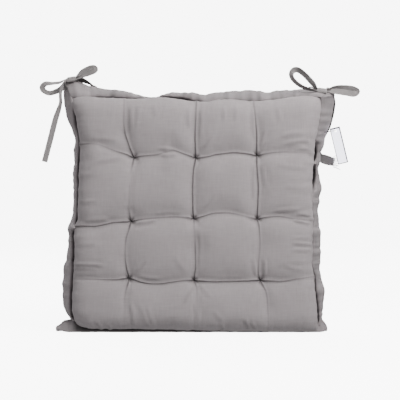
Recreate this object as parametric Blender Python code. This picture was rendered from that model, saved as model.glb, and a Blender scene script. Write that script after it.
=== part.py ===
"""Square tufted chair seat pad, standing upright on its front edge.

The sitting side faces -Y, the side that lies on the chair faces +Y, and the two
tied corners are at the top. The tables are in millimetres; the scene is in metres.
"""

import math

import bmesh
import bpy
import numpy as np
from mathutils import Matrix, Vector

MM = 0.001

# Half thickness at the crown of a quilted cell, and the cover's cloth.
CROWN = 31.0
CLOTH = 0.8
RIM = 1.0
FLANGE_THICKNESS = 2.4
FLANGE_GAP = 1.9

# The body's edges: (height, x) up the two sides, (x, height) along the top.
LEFT_EDGE = [(0, -179), (25, -181), (46, -182), (100, -179), (156, -173), (196, -172), (278, -169), (346, -170)]
RIGHT_EDGE = [(0, 177), (48, 178), (69, 176), (125, 173), (196, 173), (254, 177), (297, 179), (328, 184), (346, 184)]
TOP_EDGE = [(-176, 351), (-119, 345), (-40, 346), (16, 341), (53, 344), (92, 342), (128, 344), (176, 350)]
BACK_LIFT = 2.9

# Where the tufts are pulled down: three rows of three, from the bottom row up.
TUFTS = [
    [(-95.3, 80.9), (-1.2, 78.2), (96.1, 77.6)],
    [(-93.6, 163.8), (-1.2, 167.6), (90.7, 167.6)],
    [(-89.7, 257.8), (1.5, 256.2), (90.7, 261.7)],
]
NOMINAL_X = [-176, -92, 0, 92, 176]
NOMINAL_Z = [0, 78, 168, 258, 346]

# The cover's grid: nominal position and how far up the side wall each line is.
COLUMNS = [
    (-176, 0), (-175.7, 0.42), (-172.5, 0.7), (-163, 0.89), (-146, 0.98), (-120, 1),
    (-95, 1), (-89, 1), (-68, 1), (-46, 1), (-24, 1), (-3, 1), (3, 1), (24, 1), (46, 1), (68, 1), (89, 1), (95, 1),
    (120, 1), (146, 0.98), (163, 0.89), (172.5, 0.7), (175.7, 0.42), (176, 0),
]
ROWS = [
    (0, 0), (0, 0.62), (2.5, 0.8), (11, 0.93), (30, 1), (54, 1),
    (75, 1), (81, 1), (102, 1), (123, 1), (144, 1), (165, 1), (171, 1), (192, 1), (213, 1), (234, 1), (255, 1), (261, 1),
    (284, 1), (306, 1), (324, 0.97), (337, 0.86), (343.5, 0.66), (345.7, 0.42), (346, 0),
]

# The flange's stations: where it leaves the body, then the place of its folded edge.
FLANGE_LEFT = [
    (3, 4, -205, 2), (14, 15, -190, 9), (30, 30, -190, 10), (46, 46, -194, 12), (84, 84, -194, 12),
    (103, 103, -192, 13), (135, 135, -187, 16), (157, 157, -187, 14), (176, 176, -181, 17), (226, 226, -179.5, 17.5),
    (278, 278, -177, 18), (296, 296, -180, 17), (314, 314, -187, 13), (337, 337, -193, 7), (348, 363.5, -193, 4),
]
FLANGE_RIGHT = [
    (3, 5, 195.5, 4), (16, 20, 187, 12), (48, 48, 189, 12), (69, 69, 189, 12), (84, 84, 187.5, 13),
    (112, 112, 183.5, 16), (147, 147, 184, 15), (178, 178, 181, 17), (216, 216, 184, 15), (236, 236, 181, 17),
    (262, 262, 185.5, 14), (282, 282, 190, 7), (297, 297, 193, 3), (312, 312, 196, 3), (334, 335, 205, 2), (345, 348, 205, 1.5),
]
FLANGE_TOP = [
    (-168.5, -191.5, 365.5, 4), (-156, -163, 365.5, 8), (-143, -143, 360, 13), (-119, -119, 356, 16), (-75, -75, 351, 19),
    (-40, -40, 351.5, 18.5), (-3, -3, 352, 18), (16, 16, 350, 18), (53, 53, 354, 17), (81, 81, 355.5, 15.5),
    (106, 106, 353, 17), (128, 128, 355.5, 16), (157, 157, 356, 14), (172, 176, 354.5, 8), (183, 203, 351.5, 3),
]
FLANGE_BOTTOM = [(-174, 19), (-120, 21), (-60, 19.5), (0, 20.5), (70, 19), (120, 21), (172, 19)]

# The tie tapes.
TAPE_WIDTH = 8.5
TAPE_THICKNESS = 0.9
KNOT_WIDTH_SHARE = 0.54
KNOT_GRIP = 4.5
KNOT_REACH = 11.0
LEFT_KNOT = (-182.3, -2.0, 372.6)
RIGHT_KNOT = (186.0, -9.0, 355.7)

# Each row of a tape: centre x, y, z, then the direction its width lies along.
LEFT_TIE_FRONT = [
    (-181.0, -4.6, 350.5, 1, 0, 0), (-186.5, -5.2, 356.5, 0.8, 0.5, 0), (-190.3, -7.4, 363.0, 0.2, 1, 0),
    (-190.9, -7.6, 368.5, 0, 1, 0), (-188.0, -5.6, 371.2, 0, 1, 0), (-182.3, -4.7, 371.4, 0, 1, 0),
    (-177.0, -5.2, 372.0, 0, 1, 0), (-165.5, -6.8, 376.8, 0, 1, 0.2), (-153.5, -7.0, 380.4, 0, 1, 0.3),
    (-146.0, -7.0, 385.3, 0, 1, 0.3), (-148.0, -7.0, 390.0, 0, 1, 0.3), (-154.0, -7.0, 390.6, 0, 1, 0.3),
    (-164.5, -6.8, 385.6, 0, 1, 0.2), (-172.5, -6.4, 378.8, 0, 1, 0.1), (-177.5, -5.2, 374.6, 0, 1, 0),
    (-182.3, -4.7, 373.8, 0, 1, 0), (-187.6, -5.6, 373.9, 0, 1, 0), (-193.2, -8.4, 372.4, 0, 1, 0),
    (-196.2, -10.4, 367.0, 0, 1, 0), (-196.8, -11.4, 359.0, 0, 1, 0), (-196.8, -10.4, 349.0, 0.1, 1, 0),
    (-197.2, -8.0, 338.5, 0.4, 1, 0), (-200.5, -6.5, 328.0, 1, 0.8, 0), (-205.5, -5.5, 313.0, 1, 0.3, 0),
    (-213.0, -5.0, 284.0, 1, 0.1, 0), (-221.5, -5.0, 251.5, 1, 0, 0),
]
LEFT_TIE_BACK = [
    (-177.0, 10.0, 354.0, 1, 0, 0), (-172.5, 10.8, 361.6, 1, 0, 0), (-169.4, 10.6, 367.4, 1, 0.6, 0),
    (-172.6, 5.0, 370.6, 0.1, 1, 0), (-177.0, 1.6, 371.2, 0, 1, 0), (-182.3, 0.7, 371.4, 0, 1, 0),
    (-188.0, 1.4, 371.0, 0, 1, 0), (-192.6, 4.4, 366.6, 0, 1, 0), (-197.5, 5.2, 360.0, 0, 1, 0),
    (-205.8, 5.4, 353.4, 0, 1, 0.2), (-214.6, 5.4, 350.6, 0, 1, 0.3), (-222.0, 5.2, 353.6, 0, 1, 0.3),
    (-225.6, 5.0, 360.4, 0, 1, 0.3), (-220.5, 5.0, 366.8, 0, 1, 0.3), (-210.5, 5.2, 367.4, 0, 1, 0.2),
    (-200.5, 5.0, 368.4, 0, 1, 0.1), (-193.0, 3.8, 372.0, 0, 1, 0), (-187.6, 1.6, 373.8, 0, 1, 0),
    (-182.3, 0.7, 373.8, 0, 1, 0), (-177.0, 1.6, 374.0, 0, 1, 0), (-169.6, 6.0, 373.4, 0, 1, 0),
    (-162.5, 11.5, 371.0, 0.2, 1, 0.3), (-155.0, 18.0, 367.5, 0.6, 1, 0.3), (-148.5, 26.0, 362.0, 1, 0.6, 0),
    (-144.0, 33.0, 351.0, 1, 0.2, 0), (-142.0, 36.5, 335.0, 1, 0, 0), (-142.5, 37.0, 310.0, 1, 0, 0),
    (-145.0, 37.0, 286.0, 1, 0, 0),
]
RIGHT_TIE_FRONT = [
    (196.5, -4.2, 338.5, 1, 0, 0), (200.8, -6.4, 345.5, 0.7, 0.6, 0), (199.0, -12.0, 351.2, 0.1, 1, 0.2),
    (192.5, -12.6, 354.2, 0, 1, 0), (186.0, -11.7, 354.5, 0, 1, 0), (180.2, -12.4, 354.9, 0, 1, 0),
    (171.0, -14.6, 357.4, 0, 1, 0), (159.5, -15.0, 360.4, 0, 1, 0.2), (150.0, -15.0, 364.6, 0, 1, 0.3),
    (142.4, -15.0, 372.4, 0, 1, 0.3), (141.6, -15.0, 380.4, 0, 1, 0.3), (147.0, -15.0, 386.6, 0, 1, 0.3),
    (153.5, -15.0, 386.8, 0, 1, 0.3), (162.5, -15.0, 379.6, 0, 1, 0.2), (172.0, -14.6, 368.6, 0, 1, 0),
    (179.4, -12.8, 358.6, 0, 1, 0), (186.0, -11.7, 356.9, 0, 1, 0), (191.6, -13.0, 356.9, 0, 1, 0.2),
    (197.5, -17.0, 356.4, 0, 0.6, 1), (203.5, -17.4, 352.8, 0.5, 0.6, 0.9), (207.0, -14.4, 346.0, 0.5, 1, 0.3),
    (207.4, -9.0, 337.0, 0.2, 1, 0), (205.2, -3.6, 326.0, 0, 1, 0), (202.0, 4.0, 314.0, 0, 1, 0),
    (197.6, 12.0, 302.0, 0.2, 1, 0), (193.4, 17.6, 287.0, 0.5, 1, 0), (191.6, 20.0, 272.0, 0.6, 1, 0),
    (191.0, 20.5, 262.0, 0.6, 1, 0.5), (193.6, 19.5, 255.0, 0.3, 1, 1), (199.5, 17.0, 251.5, 0, 0.4, 1),
    (207.5, 14.0, 248.5, 0, 0.1, 1),
]
RIGHT_TIE_BACK = [
    (171.0, -4.4, 353.5, 0.3, 0.2, 1), (175.5, -5.0, 354.4, 0, 0.8, 1), (180.6, -6.1, 354.5, 0, 1, 0),
    (186.0, -6.3, 354.5, 0, 1, 0), (191.6, -5.6, 354.9, 0, 1, 0), (202.5, -5.0, 355.2, 0, 1, 0),
    (213.5, -5.0, 353.8, 0, 1, 0.2), (226.5, -5.0, 352.0, 0, 1, 0.3), (235.5, -5.0, 352.2, 0, 1, 0.3),
    (240.0, -5.0, 356.6, 0, 1, 0.3), (235.5, -5.0, 361.6, 0, 1, 0.3), (223.4, -5.0, 364.2, 0, 1, 0.2),
    (207.0, -5.0, 362.8, 0, 1, 0.1), (195.0, -5.4, 358.6, 0, 1, 0), (186.0, -6.3, 356.9, 0, 1, 0),
    (180.2, -5.2, 357.6, 0, 1, 0), (175.0, -1.6, 360.4, 0, 1, 0), (171.0, 4.0, 363.4, 0.4, 1, 0),
    (168.5, 12.0, 364.0, 1, 0.4, 0), (167.0, 21.0, 359.5, 1, 0, 0), (166.0, 29.0, 347.5, 1, 0, 0),
    (165.5, 33.0, 328.0, 1, 0, 0), (166.0, 35.0, 303.0, 1, 0, 0), (168.0, 35.5, 279.0, 1, 0, 0),
]

# The hang tag, tilted where it hangs, and the thread that holds it.
TAG_PIVOT = (206.6, -6.0, 297.2)
TAG_SIZE = (15.3, 0.6, 54.4)
TAG_ABOVE_HOLE = 5.0
TAG_HOLE = 2.0
TAG_TILT = math.radians(-13.7)
TAG_THREAD = [
    (188.6, -1.0, 295.0), (188.4, 1.9, 295.0), (188.8, 5.2, 295.0), (192.6, 6.8, 295.4), (196.8, 4.0, 296.0), (199.2, -1.6, 296.6),
    (202.6, -3.8, 297.0), (206.6, -4.4, 297.2), (207.0, -6.2, 297.2), (206.4, -7.8, 297.2), (202.0, -8.6, 297.0),
    (196.6, -7.4, 296.2), (191.4, -4.2, 295.4),
]
TAG_THREAD_RADIUS = 0.45
TAG_EYELET = (188.4, 1.6, 294.8)
TAG_EYELET_RADIUS = 1.6

COVER = ("cover_cotton", (0.62, 0.60, 0.60), 0.95)
FILLING = ("wadding", (0.88, 0.87, 0.84), 1.0)
THREAD = ("tuft_thread", (0.34, 0.32, 0.32), 0.9)
TAPE = ("tie_tape", (0.60, 0.58, 0.58), 0.95)
CARD = ("tag_card", (0.80, 0.84, 0.90), 0.6)
STRING = ("tag_string", (0.16, 0.15, 0.15), 0.9)


def clear_scene():
    for item in list(bpy.data.objects):
        bpy.data.objects.remove(item)


def material(recipe):
    name, color, roughness = recipe
    found = bpy.data.materials.get(name)
    if found:
        return found
    made = bpy.data.materials.new(name)
    made.use_nodes = True
    shader = made.node_tree.nodes["Principled BSDF"]
    shader.inputs["Base Color"].default_value = (*color, 1)
    shader.inputs["Roughness"].default_value = roughness
    made.diffuse_color = (*color, 1)
    return made


def add_solid(name, points, faces, recipe, origin=(0, 0, 0)):
    """A named closed mesh whose object origin is at the given point."""
    start = Vector(origin)
    mesh = bpy.data.meshes.new(name)
    mesh.from_pydata([(Vector(point) - start) * MM for point in points], [], faces)
    work = bmesh.new()
    work.from_mesh(mesh)
    bmesh.ops.recalc_face_normals(work, faces=work.faces)
    work.to_mesh(mesh)
    work.free()
    mesh.materials.append(material(recipe))
    made = bpy.data.objects.new(name, mesh)
    made.location = start * MM
    bpy.context.scene.collection.objects.link(made)
    return made


def at(table, where):
    places, values = zip(*table)
    return float(np.interp(where, places, values))


def body_point(x, z):
    """The real place of a nominal grid point: edges and tufts land where they are."""
    heights = [row[1][1] for row in TUFTS]
    inner = [float(np.interp(z, heights, [row[i][0] for row in TUFTS])) for i in range(3)]
    across = [at(LEFT_EDGE, z), *inner, at(RIGHT_EDGE, z)]
    columns = [TUFTS[0][i][0] for i in range(3)]
    levels = [float(np.interp(x, columns, [spot[1] for spot in row])) for row in TUFTS]
    upward = [0, *levels, at(TOP_EDGE, x)]
    return float(np.interp(x, NOMINAL_X, across)), float(np.interp(z, NOMINAL_Z, upward))


def puff(x, z):
    """How full the quilting is at a nominal point: low at a tuft, lower along a crease."""
    full = 1.0
    for row in NOMINAL_Z[1:4]:
        for column in NOMINAL_X[1:4]:
            away = math.hypot(x - column, z - row)
            full *= 1 - 0.85 * math.exp(-((away / 15) ** 2))
    nearest_column = min(abs(x - column) for column in NOMINAL_X[1:4])
    nearest_row = min(abs(z - row) for row in NOMINAL_Z[1:4])
    full *= 1 - 0.3 * math.exp(-((nearest_column / 9) ** 2))
    full *= 1 - 0.3 * math.exp(-((nearest_row / 9) ** 2))
    return min(full, 0.96) / 0.96


def skin(side, inset, lowered, rim, lift):
    """One skin of the quilted body as a grid of points; side is -1 at the front, 1 at the back."""
    grid = []
    for z_nominal, z_wall in ROWS:
        line = []
        for x_nominal, x_wall in COLUMNS:
            x, z = body_point(x_nominal, z_nominal)
            x = min(max(x, at(LEFT_EDGE, z) + inset), at(RIGHT_EDGE, z) - inset)
            z = min(max(z, lift + inset), at(TOP_EDGE, x) - inset)
            wall = x_wall * z_wall
            height = RIM + (CROWN - RIM) * wall * puff(x_nominal, z_nominal) - lowered
            line.append((x, side * (height if wall else rim), z))
        grid.append(line)
    return grid


def is_hole(row, column):
    """Whether a grid cell is one of the small squares a tuft's thread passes through."""
    middle_x = (COLUMNS[column][0] + COLUMNS[column + 1][0]) / 2
    middle_z = (ROWS[row][0] + ROWS[row + 1][0]) / 2
    return middle_x in NOMINAL_X[1:4] and middle_z in NOMINAL_Z[1:4]


def join_skins(name, near, far, recipe):
    """A closed solid from two skins of the same grid, open where the tufts pass."""
    rows, columns = len(near), len(near[0])
    points = [point for line in near for point in line] + [point for line in far for point in line]
    offset = rows * columns
    uses = {}
    faces = []
    for j in range(rows - 1):
        for i in range(columns - 1):
            if is_hole(j, i):
                continue
            start = j * columns + i
            corners = [start, start + 1, start + columns + 1, start + columns]
            for half in (corners[:3], [corners[0], *corners[2:]]):
                faces.append(half)
                faces.append([corner + offset for corner in reversed(half)])
            for a, b in zip(corners, corners[1:] + corners[:1]):
                uses[frozenset((a, b))] = uses.get(frozenset((a, b)), 0) + 1
    for edge, count in uses.items():
        if count == 1:
            a, b = sorted(edge)
            faces.append([a, b, b + offset, a + offset])
    return add_solid(name, points, faces, recipe)


def loft(name, sections, recipe, closed=False, origin=(0, 0, 0)):
    """A solid through rings of points: a loop when closed, else with flat ends."""
    count = len(sections[0])
    points = [point for ring in sections for point in ring]
    faces = []
    spans = len(sections) if closed else len(sections) - 1
    for k in range(spans):
        here = k * count
        there = ((k + 1) % len(sections)) * count
        for i in range(count):
            j = (i + 1) % count
            faces.append([here + i, here + j, there + j, there + i])
    if not closed:
        faces.append(list(range(count)))
        faces.append(list(range(len(points) - count, len(points))))
    return add_solid(name, points, faces, recipe, origin)


def folded_section(inner, outer, along):
    """The section of a strip doubled over and pressed flat, with its fold at the outer edge."""
    inner, outer = Vector(inner), Vector(outer)
    width = (outer - inner).length
    out = (outer - inner).normalized()
    up = out.cross(Vector(along)).normalized()
    half = FLANGE_THICKNESS / 2
    fold = width - 1
    outline = [(0, half), (fold, half), (width, half * 0.4), (width, -half * 0.4), (fold, -half), (0, -half)]
    return [inner + out * s + up * t for s, t in outline]


def make_body():
    front = skin(-1, 0, 0, RIM, 0)
    front_lining = skin(-1, CLOTH, CLOTH, RIM - CLOTH, 0)
    back = skin(1, 0, 0, RIM, BACK_LIFT)
    back_lining = skin(1, CLOTH, CLOTH, RIM - CLOTH, BACK_LIFT)
    join_skins("front_panel", front, front_lining, COVER)
    join_skins("back_panel", back, back_lining, COVER)
    fill_front = skin(-1, 4, 3, 3, BACK_LIFT)
    fill_back = skin(1, 4, 3, 3, BACK_LIFT)
    join_skins("filling_pad", fill_front, fill_back, FILLING)


def make_flanges():
    left = [
        folded_section((at(LEFT_EDGE, z) - FLANGE_GAP, 0, z), (x, y, z_out), (0, 0, 1))
        for z, z_out, x, y in FLANGE_LEFT
    ]
    right = [
        folded_section((at(RIGHT_EDGE, z) + FLANGE_GAP, 0, z), (x, y, z_out), (0, 0, 1))
        for z, z_out, x, y in FLANGE_RIGHT
    ]
    top = [
        folded_section((x, 0, at(TOP_EDGE, x) + FLANGE_GAP), (x_out, y, z), (1, 0, 0))
        for x, x_out, z, y in FLANGE_TOP
    ]
    level = FLANGE_THICKNESS / 2
    bottom = [folded_section((x, 0.9, level), (x, y, level), (1, 0, 0)) for x, y in FLANGE_BOTTOM]
    loft("flange_left", left, COVER)
    right_flange = loft("flange_right", right, COVER)
    loft("flange_top", top, COVER)
    loft("flange_bottom", bottom, COVER)
    pierce(right_flange, TAG_EYELET, TAG_EYELET_RADIUS, 12)


def pierce(target, centre, radius, length):
    """Cuts a small round hole through a piece, along Y."""
    bpy.ops.mesh.primitive_cylinder_add(
        vertices=16, radius=radius * MM, depth=length * MM,
        location=Vector(centre) * MM, rotation=(math.pi / 2, 0, 0),
    )
    cutter = bpy.context.object
    cutter.name = target.name + "_cutter"
    cutter.hide_render = True
    cutter.display_type = "WIRE"
    cut = target.modifiers.new("hole", "BOOLEAN")
    cut.operation = "DIFFERENCE"
    cut.solver = "EXACT"
    cut.object = cutter


def make_tufts():
    """The thread pulled through the pad at each tuft, knotted at both ends."""
    profile = [(-5.6, 0.8), (-5.2, 1.9), (-4.4, 2.2), (-3.6, 1.3), (3.6, 1.3), (4.4, 2.2), (5.2, 1.9), (5.6, 0.8)]
    segments = 8
    for row, line in enumerate(TUFTS):
        for column, (x, z) in enumerate(line):
            rings = [
                [
                    (
                        x + radius * math.cos(math.tau * step / segments),
                        y,
                        z + radius * math.sin(math.tau * step / segments),
                    )
                    for step in range(segments)
                ]
                for y, radius in profile
            ]
            loft(f"tuft_stitch_{row + 1}_{column + 1}", rings, THREAD)


def smooth_path(rows, spacing, closed=False):
    """Evenly spaced samples of a smooth curve through every row of numbers."""
    rows = [np.array(row, float) for row in rows]
    count = len(rows)
    spans = count if closed else count - 1
    dense = []
    for k in range(spans):
        if closed:
            p0, p1, p2, p3 = (rows[(k + step) % count] for step in (-1, 0, 1, 2))
        else:
            p0, p1, p2, p3 = (rows[min(max(k + step, 0), count - 1)] for step in (-1, 0, 1, 2))
        for t in np.linspace(0, 1, 12, endpoint=False):
            dense.append(
                0.5 * (2 * p1 + (p2 - p0) * t + (2 * p0 - 5 * p1 + 4 * p2 - p3) * t**2 + (3 * p1 - p0 - 3 * p2 + p3) * t**3)
            )
    dense.append(rows[0] if closed else rows[-1])
    dense = np.array(dense)
    steps = np.linalg.norm(np.diff(dense[:, :3], axis=0), axis=1)
    length = np.concatenate([[0], np.cumsum(steps)])
    pieces = max(2, round(length[-1] / spacing))
    wanted = np.linspace(0, length[-1], pieces + 1)
    samples = np.stack([np.interp(wanted, length, dense[:, i]) for i in range(dense.shape[1])], axis=1)
    return samples[:-1] if closed else samples


def tangents(points, closed=False):
    if closed:
        step = np.roll(points, -1, axis=0) - np.roll(points, 1, axis=0)
    else:
        step = np.gradient(points, axis=0)
    return step / np.linalg.norm(step, axis=1)[:, None]


def make_tape(name, rows, knot):
    """A flat woven tape along a route, gathered narrower where the knot grips it."""
    samples = smooth_path(rows, 4.5)
    points, widths = samples[:, :3], samples[:, 3:]
    rings = []
    for point, tangent, across in zip(points, tangents(points), widths):
        across = across - tangent * np.dot(across, tangent)
        across /= np.linalg.norm(across)
        normal = np.cross(tangent, across)
        beyond = np.linalg.norm(point - np.array(knot)) - KNOT_GRIP
        away = min(max(beyond / KNOT_REACH, 0), 1)
        share = KNOT_WIDTH_SHARE + (1 - KNOT_WIDTH_SHARE) * away * away * (3 - 2 * away)
        half_width = across * TAPE_WIDTH * share / 2
        half_thick = normal * TAPE_THICKNESS / 2
        rings.append(
            [
                point + half_width + half_thick,
                point - half_width + half_thick,
                point - half_width - half_thick,
                point + half_width - half_thick,
            ]
        )
    loft(name, rings, TAPE)


def rounded_ring(x, centre, half_y, half_z, corner):
    """A rounded rectangle of twelve points across X."""
    ring = []
    for side_y, side_z, first in ((1, 1, 0), (-1, 1, 90), (-1, -1, 180), (1, -1, 270)):
        for turn in (0, 45, 90):
            angle = math.radians(first + turn)
            ring.append(
                (
                    centre[0] + x,
                    centre[1] + side_y * (half_y - corner) + corner * math.cos(angle),
                    centre[2] + side_z * (half_z - corner) + corner * math.sin(angle),
                )
            )
    return ring


def make_knot(name, centre):
    """The turn of tape wrapped round the strands in the middle of a bow."""
    hole_y, hole_z, wrap = 5.8, 2.8, 1.2
    rings = [
        rounded_ring(-3.4, centre, hole_y, hole_z, 0.9),
        rounded_ring(-3.4, centre, hole_y + wrap * 0.6, hole_z + wrap * 0.6, 1.6),
        rounded_ring(-1.8, centre, hole_y + wrap, hole_z + wrap, 2.2),
        rounded_ring(1.8, centre, hole_y + wrap, hole_z + wrap, 2.2),
        rounded_ring(3.4, centre, hole_y + wrap * 0.6, hole_z + wrap * 0.6, 1.6),
        rounded_ring(3.4, centre, hole_y, hole_z, 0.9),
    ]
    loft(name, rings, TAPE, closed=True)


def make_ties():
    make_tape("left_tie_front", LEFT_TIE_FRONT, LEFT_KNOT)
    make_tape("left_tie_back", LEFT_TIE_BACK, LEFT_KNOT)
    make_tape("right_tie_front", RIGHT_TIE_FRONT, RIGHT_KNOT)
    make_tape("right_tie_back", RIGHT_TIE_BACK, RIGHT_KNOT)
    make_knot("left_bow_knot", LEFT_KNOT)
    make_knot("right_bow_knot", RIGHT_KNOT)


def make_tag():
    """A blank card with a round hole; its origin is on the hole, where it swings."""
    width, thick, length = TAG_SIZE
    turn = Matrix.Rotation(TAG_TILT, 3, "Y")
    pivot = Vector(TAG_PIVOT)
    rings = []
    for y in (-thick / 2, thick / 2):
        corners = [
            (-width / 2, y, TAG_ABOVE_HOLE), (width / 2, y, TAG_ABOVE_HOLE),
            (width / 2, y, TAG_ABOVE_HOLE - length), (-width / 2, y, TAG_ABOVE_HOLE - length),
        ]
        rings.append([pivot + turn @ Vector(corner) for corner in corners])
    tag = loft("hang_tag", rings, CARD, origin=TAG_PIVOT)
    pierce(tag, TAG_PIVOT, TAG_HOLE, 4)


def make_tag_thread():
    """The thread loop through the tag's hole and the flange's edge."""
    points = smooth_path(TAG_THREAD, 2.0, closed=True)
    rings = []
    for point, tangent in zip(points, tangents(points, closed=True)):
        side = np.cross(tangent, (0, 0, 1))
        side /= np.linalg.norm(side)
        up = np.cross(side, tangent)
        rings.append(
            [
                point + TAG_THREAD_RADIUS * (side * math.cos(angle) + up * math.sin(angle))
                for angle in (math.tau * step / 6 for step in range(6))
            ]
        )
    loft("tag_thread", rings, STRING, closed=True)


clear_scene()
make_body()
make_flanges()
make_tufts()
make_ties()
make_tag()
make_tag_thread()
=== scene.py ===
"""The looks of the tufted seat pad: cloth, tapes, tag, light and camera."""

import math

import bmesh
import bpy
import numpy as np
from mathutils import Matrix, Vector, noise


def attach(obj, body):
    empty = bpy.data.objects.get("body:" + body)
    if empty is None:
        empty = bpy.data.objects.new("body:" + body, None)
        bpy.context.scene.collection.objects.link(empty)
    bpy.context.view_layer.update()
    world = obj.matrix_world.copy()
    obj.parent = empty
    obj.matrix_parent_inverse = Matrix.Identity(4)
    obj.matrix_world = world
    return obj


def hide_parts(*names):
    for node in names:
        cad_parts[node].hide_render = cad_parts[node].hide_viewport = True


MM = 0.001

# ---------------------------------------------------------------- the design's own numbers

# The body's edges in mm: (height, x) up the sides, (x, height) along the top.
LEFT_EDGE = [
    (0, -168), (7, -171), (12, -175.5), (18, -179), (28, -181), (46, -181.4), (72, -180), (100, -178.6),
    (128, -176.5), (148, -179), (156, -177), (163, -173), (196, -172), (240, -170.5), (278, -168.5),
    (300, -172), (322, -175.5), (338, -182), (346, -184),
]
RIGHT_EDGE = [
    (0, 180), (10, 181), (48, 179), (69, 176), (78, 176.5), (96, 173), (125, 173), (160, 174), (196, 173),
    (226, 172.5), (240, 173.5), (254, 175), (284, 176.5), (300, 181), (318, 184.5), (334, 186), (346, 186),
]
TOP_EDGE = [
    (-184, 347), (-172, 349), (-142, 346), (-119, 345), (-92, 344), (-75, 345), (-56, 346.6), (-40, 346),
    (0, 340), (8, 339), (16, 340.4), (36, 343.4), (56, 344.4), (76, 342.4), (90, 341), (104, 341.6),
    (124, 344.4), (150, 348), (180, 350),
]
BOTTOM_EDGE = [
    (-184, 16), (-178, 13.5), (-171, 9), (-162, 6.6), (-150, 5.6), (-120, 5.2), (-80, 5), (-40, 4.2),
    (0, 3.2), (40, 2.4), (80, 1.9), (120, 1.6), (150, 2), (172, 1.6), (184, 1.6),
]
# The nine tufts as (x, z), rows from the bottom up.
TUFTS = [
    [(-96.6, 81.2), (-1.2, 78.2), (95.8, 78.2)],
    [(-93.5, 164.6), (-1.5, 168.2), (91.0, 168.0)],
    [(-89.0, 257.7), (1.2, 257.3), (90.3, 260.6)],
]
TUFT_SPOTS = [spot for row in TUFTS for spot in row]

# The lines that the tufts pull across the sitting side, as (x, z, depth): rows from left to right
# and columns from bottom to top. Each crosses its three tufts, where it is deepest.
ROW_LINES = [
    [
        (-182, 80, 2), (-152, 80.6, 4), (-118, 79.6, 8), (-96.5, 81.2, 11), (-76, 76, 9), (-63, 74, 8),
        (-46, 74.3, 8), (-16, 78.3, 8), (-1.2, 78.2, 11), (24, 76.6, 10), (56, 77, 10), (95.8, 78.2, 11),
        (126, 77.3, 7), (150, 81.5, 5), (180, 84, 3),
    ],
    [
        (-184, 154, 9), (-166, 157.7, 9), (-145, 157.8, 9), (-118, 163.2, 9), (-93.5, 164.6, 11),
        (-71, 168.6, 5), (-32, 171.4, 6), (-9, 169.4, 8), (-1.5, 168.2, 11), (8.4, 170.6, 9),
        (24, 175.6, 8), (40, 177.4, 7), (56, 176.4, 5), (72, 172.6, 3), (91, 168, 11), (104, 170.6, 8),
        (124, 172, 6), (150, 168, 3), (180, 165, 1.5),
    ],
    [
        (-180, 276.5, 7), (-160, 278, 6), (-148, 278, 3), (-137, 275.6, 3), (-118, 268.2, 4),
        (-103, 263.2, 8), (-89, 257.7, 11), (-78, 260.2, 8), (-56, 262.2, 6), (-41, 266, 2.5),
        (-32, 268.4, 5), (-16, 263.2, 8), (1.2, 257.3, 11), (16, 258.4, 9), (32, 262.4, 9), (56, 264.8, 9),
        (74, 263.8, 9), (90.3, 260.6, 11), (103, 263.4, 7), (119, 265.6, 5), (140, 266, 2.5),
        (185, 263, 1),
    ],
]
COLUMN_LINES = [
    [
        (-103, 0, 0.5), (-102, 46, 2), (-100.5, 62, 4), (-96.6, 81.2, 11), (-99.4, 98, 9), (-101, 110, 5),
        (-101, 126, 4), (-99.6, 141, 6), (-96.4, 152, 7), (-93.5, 164.6, 11), (-95, 177, 6),
        (-95.4, 188, 1.5), (-95, 215, 1), (-92.6, 238, 1.5), (-90.6, 248, 6), (-89, 257.7, 11),
        (-96.4, 277.4, 9), (-101.4, 293, 8), (-103, 309, 4), (-103, 352, 2),
    ],
    [
        (3, 0, 0.5), (3, 63, 2.5), (-1.2, 78.2, 11), (0.9, 101, 8), (0.6, 128, 7), (0.4, 138, 3.5),
        (-0.4, 149, 1.5), (-1, 159, 3), (-1.5, 168.2, 11), (-2.8, 184, 10), (-3, 214, 9), (-1.8, 240, 9),
        (1.2, 257.3, 11), (0.4, 285, 10), (1, 309, 8), (2.6, 352, 5),
    ],
    [
        (108, 0, 0.5), (105.3, 54, 4), (100, 70, 7), (95.8, 78.2, 11), (92.8, 90, 7), (93.3, 104, 4),
        (95, 132, 4), (93.6, 158, 7), (91, 168, 11), (91.9, 191, 10), (92.6, 214, 9), (91, 240, 9),
        (90.3, 260.6, 11), (90.3, 285, 10), (88.8, 309, 7), (84.5, 352, 3),
    ],
]
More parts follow.
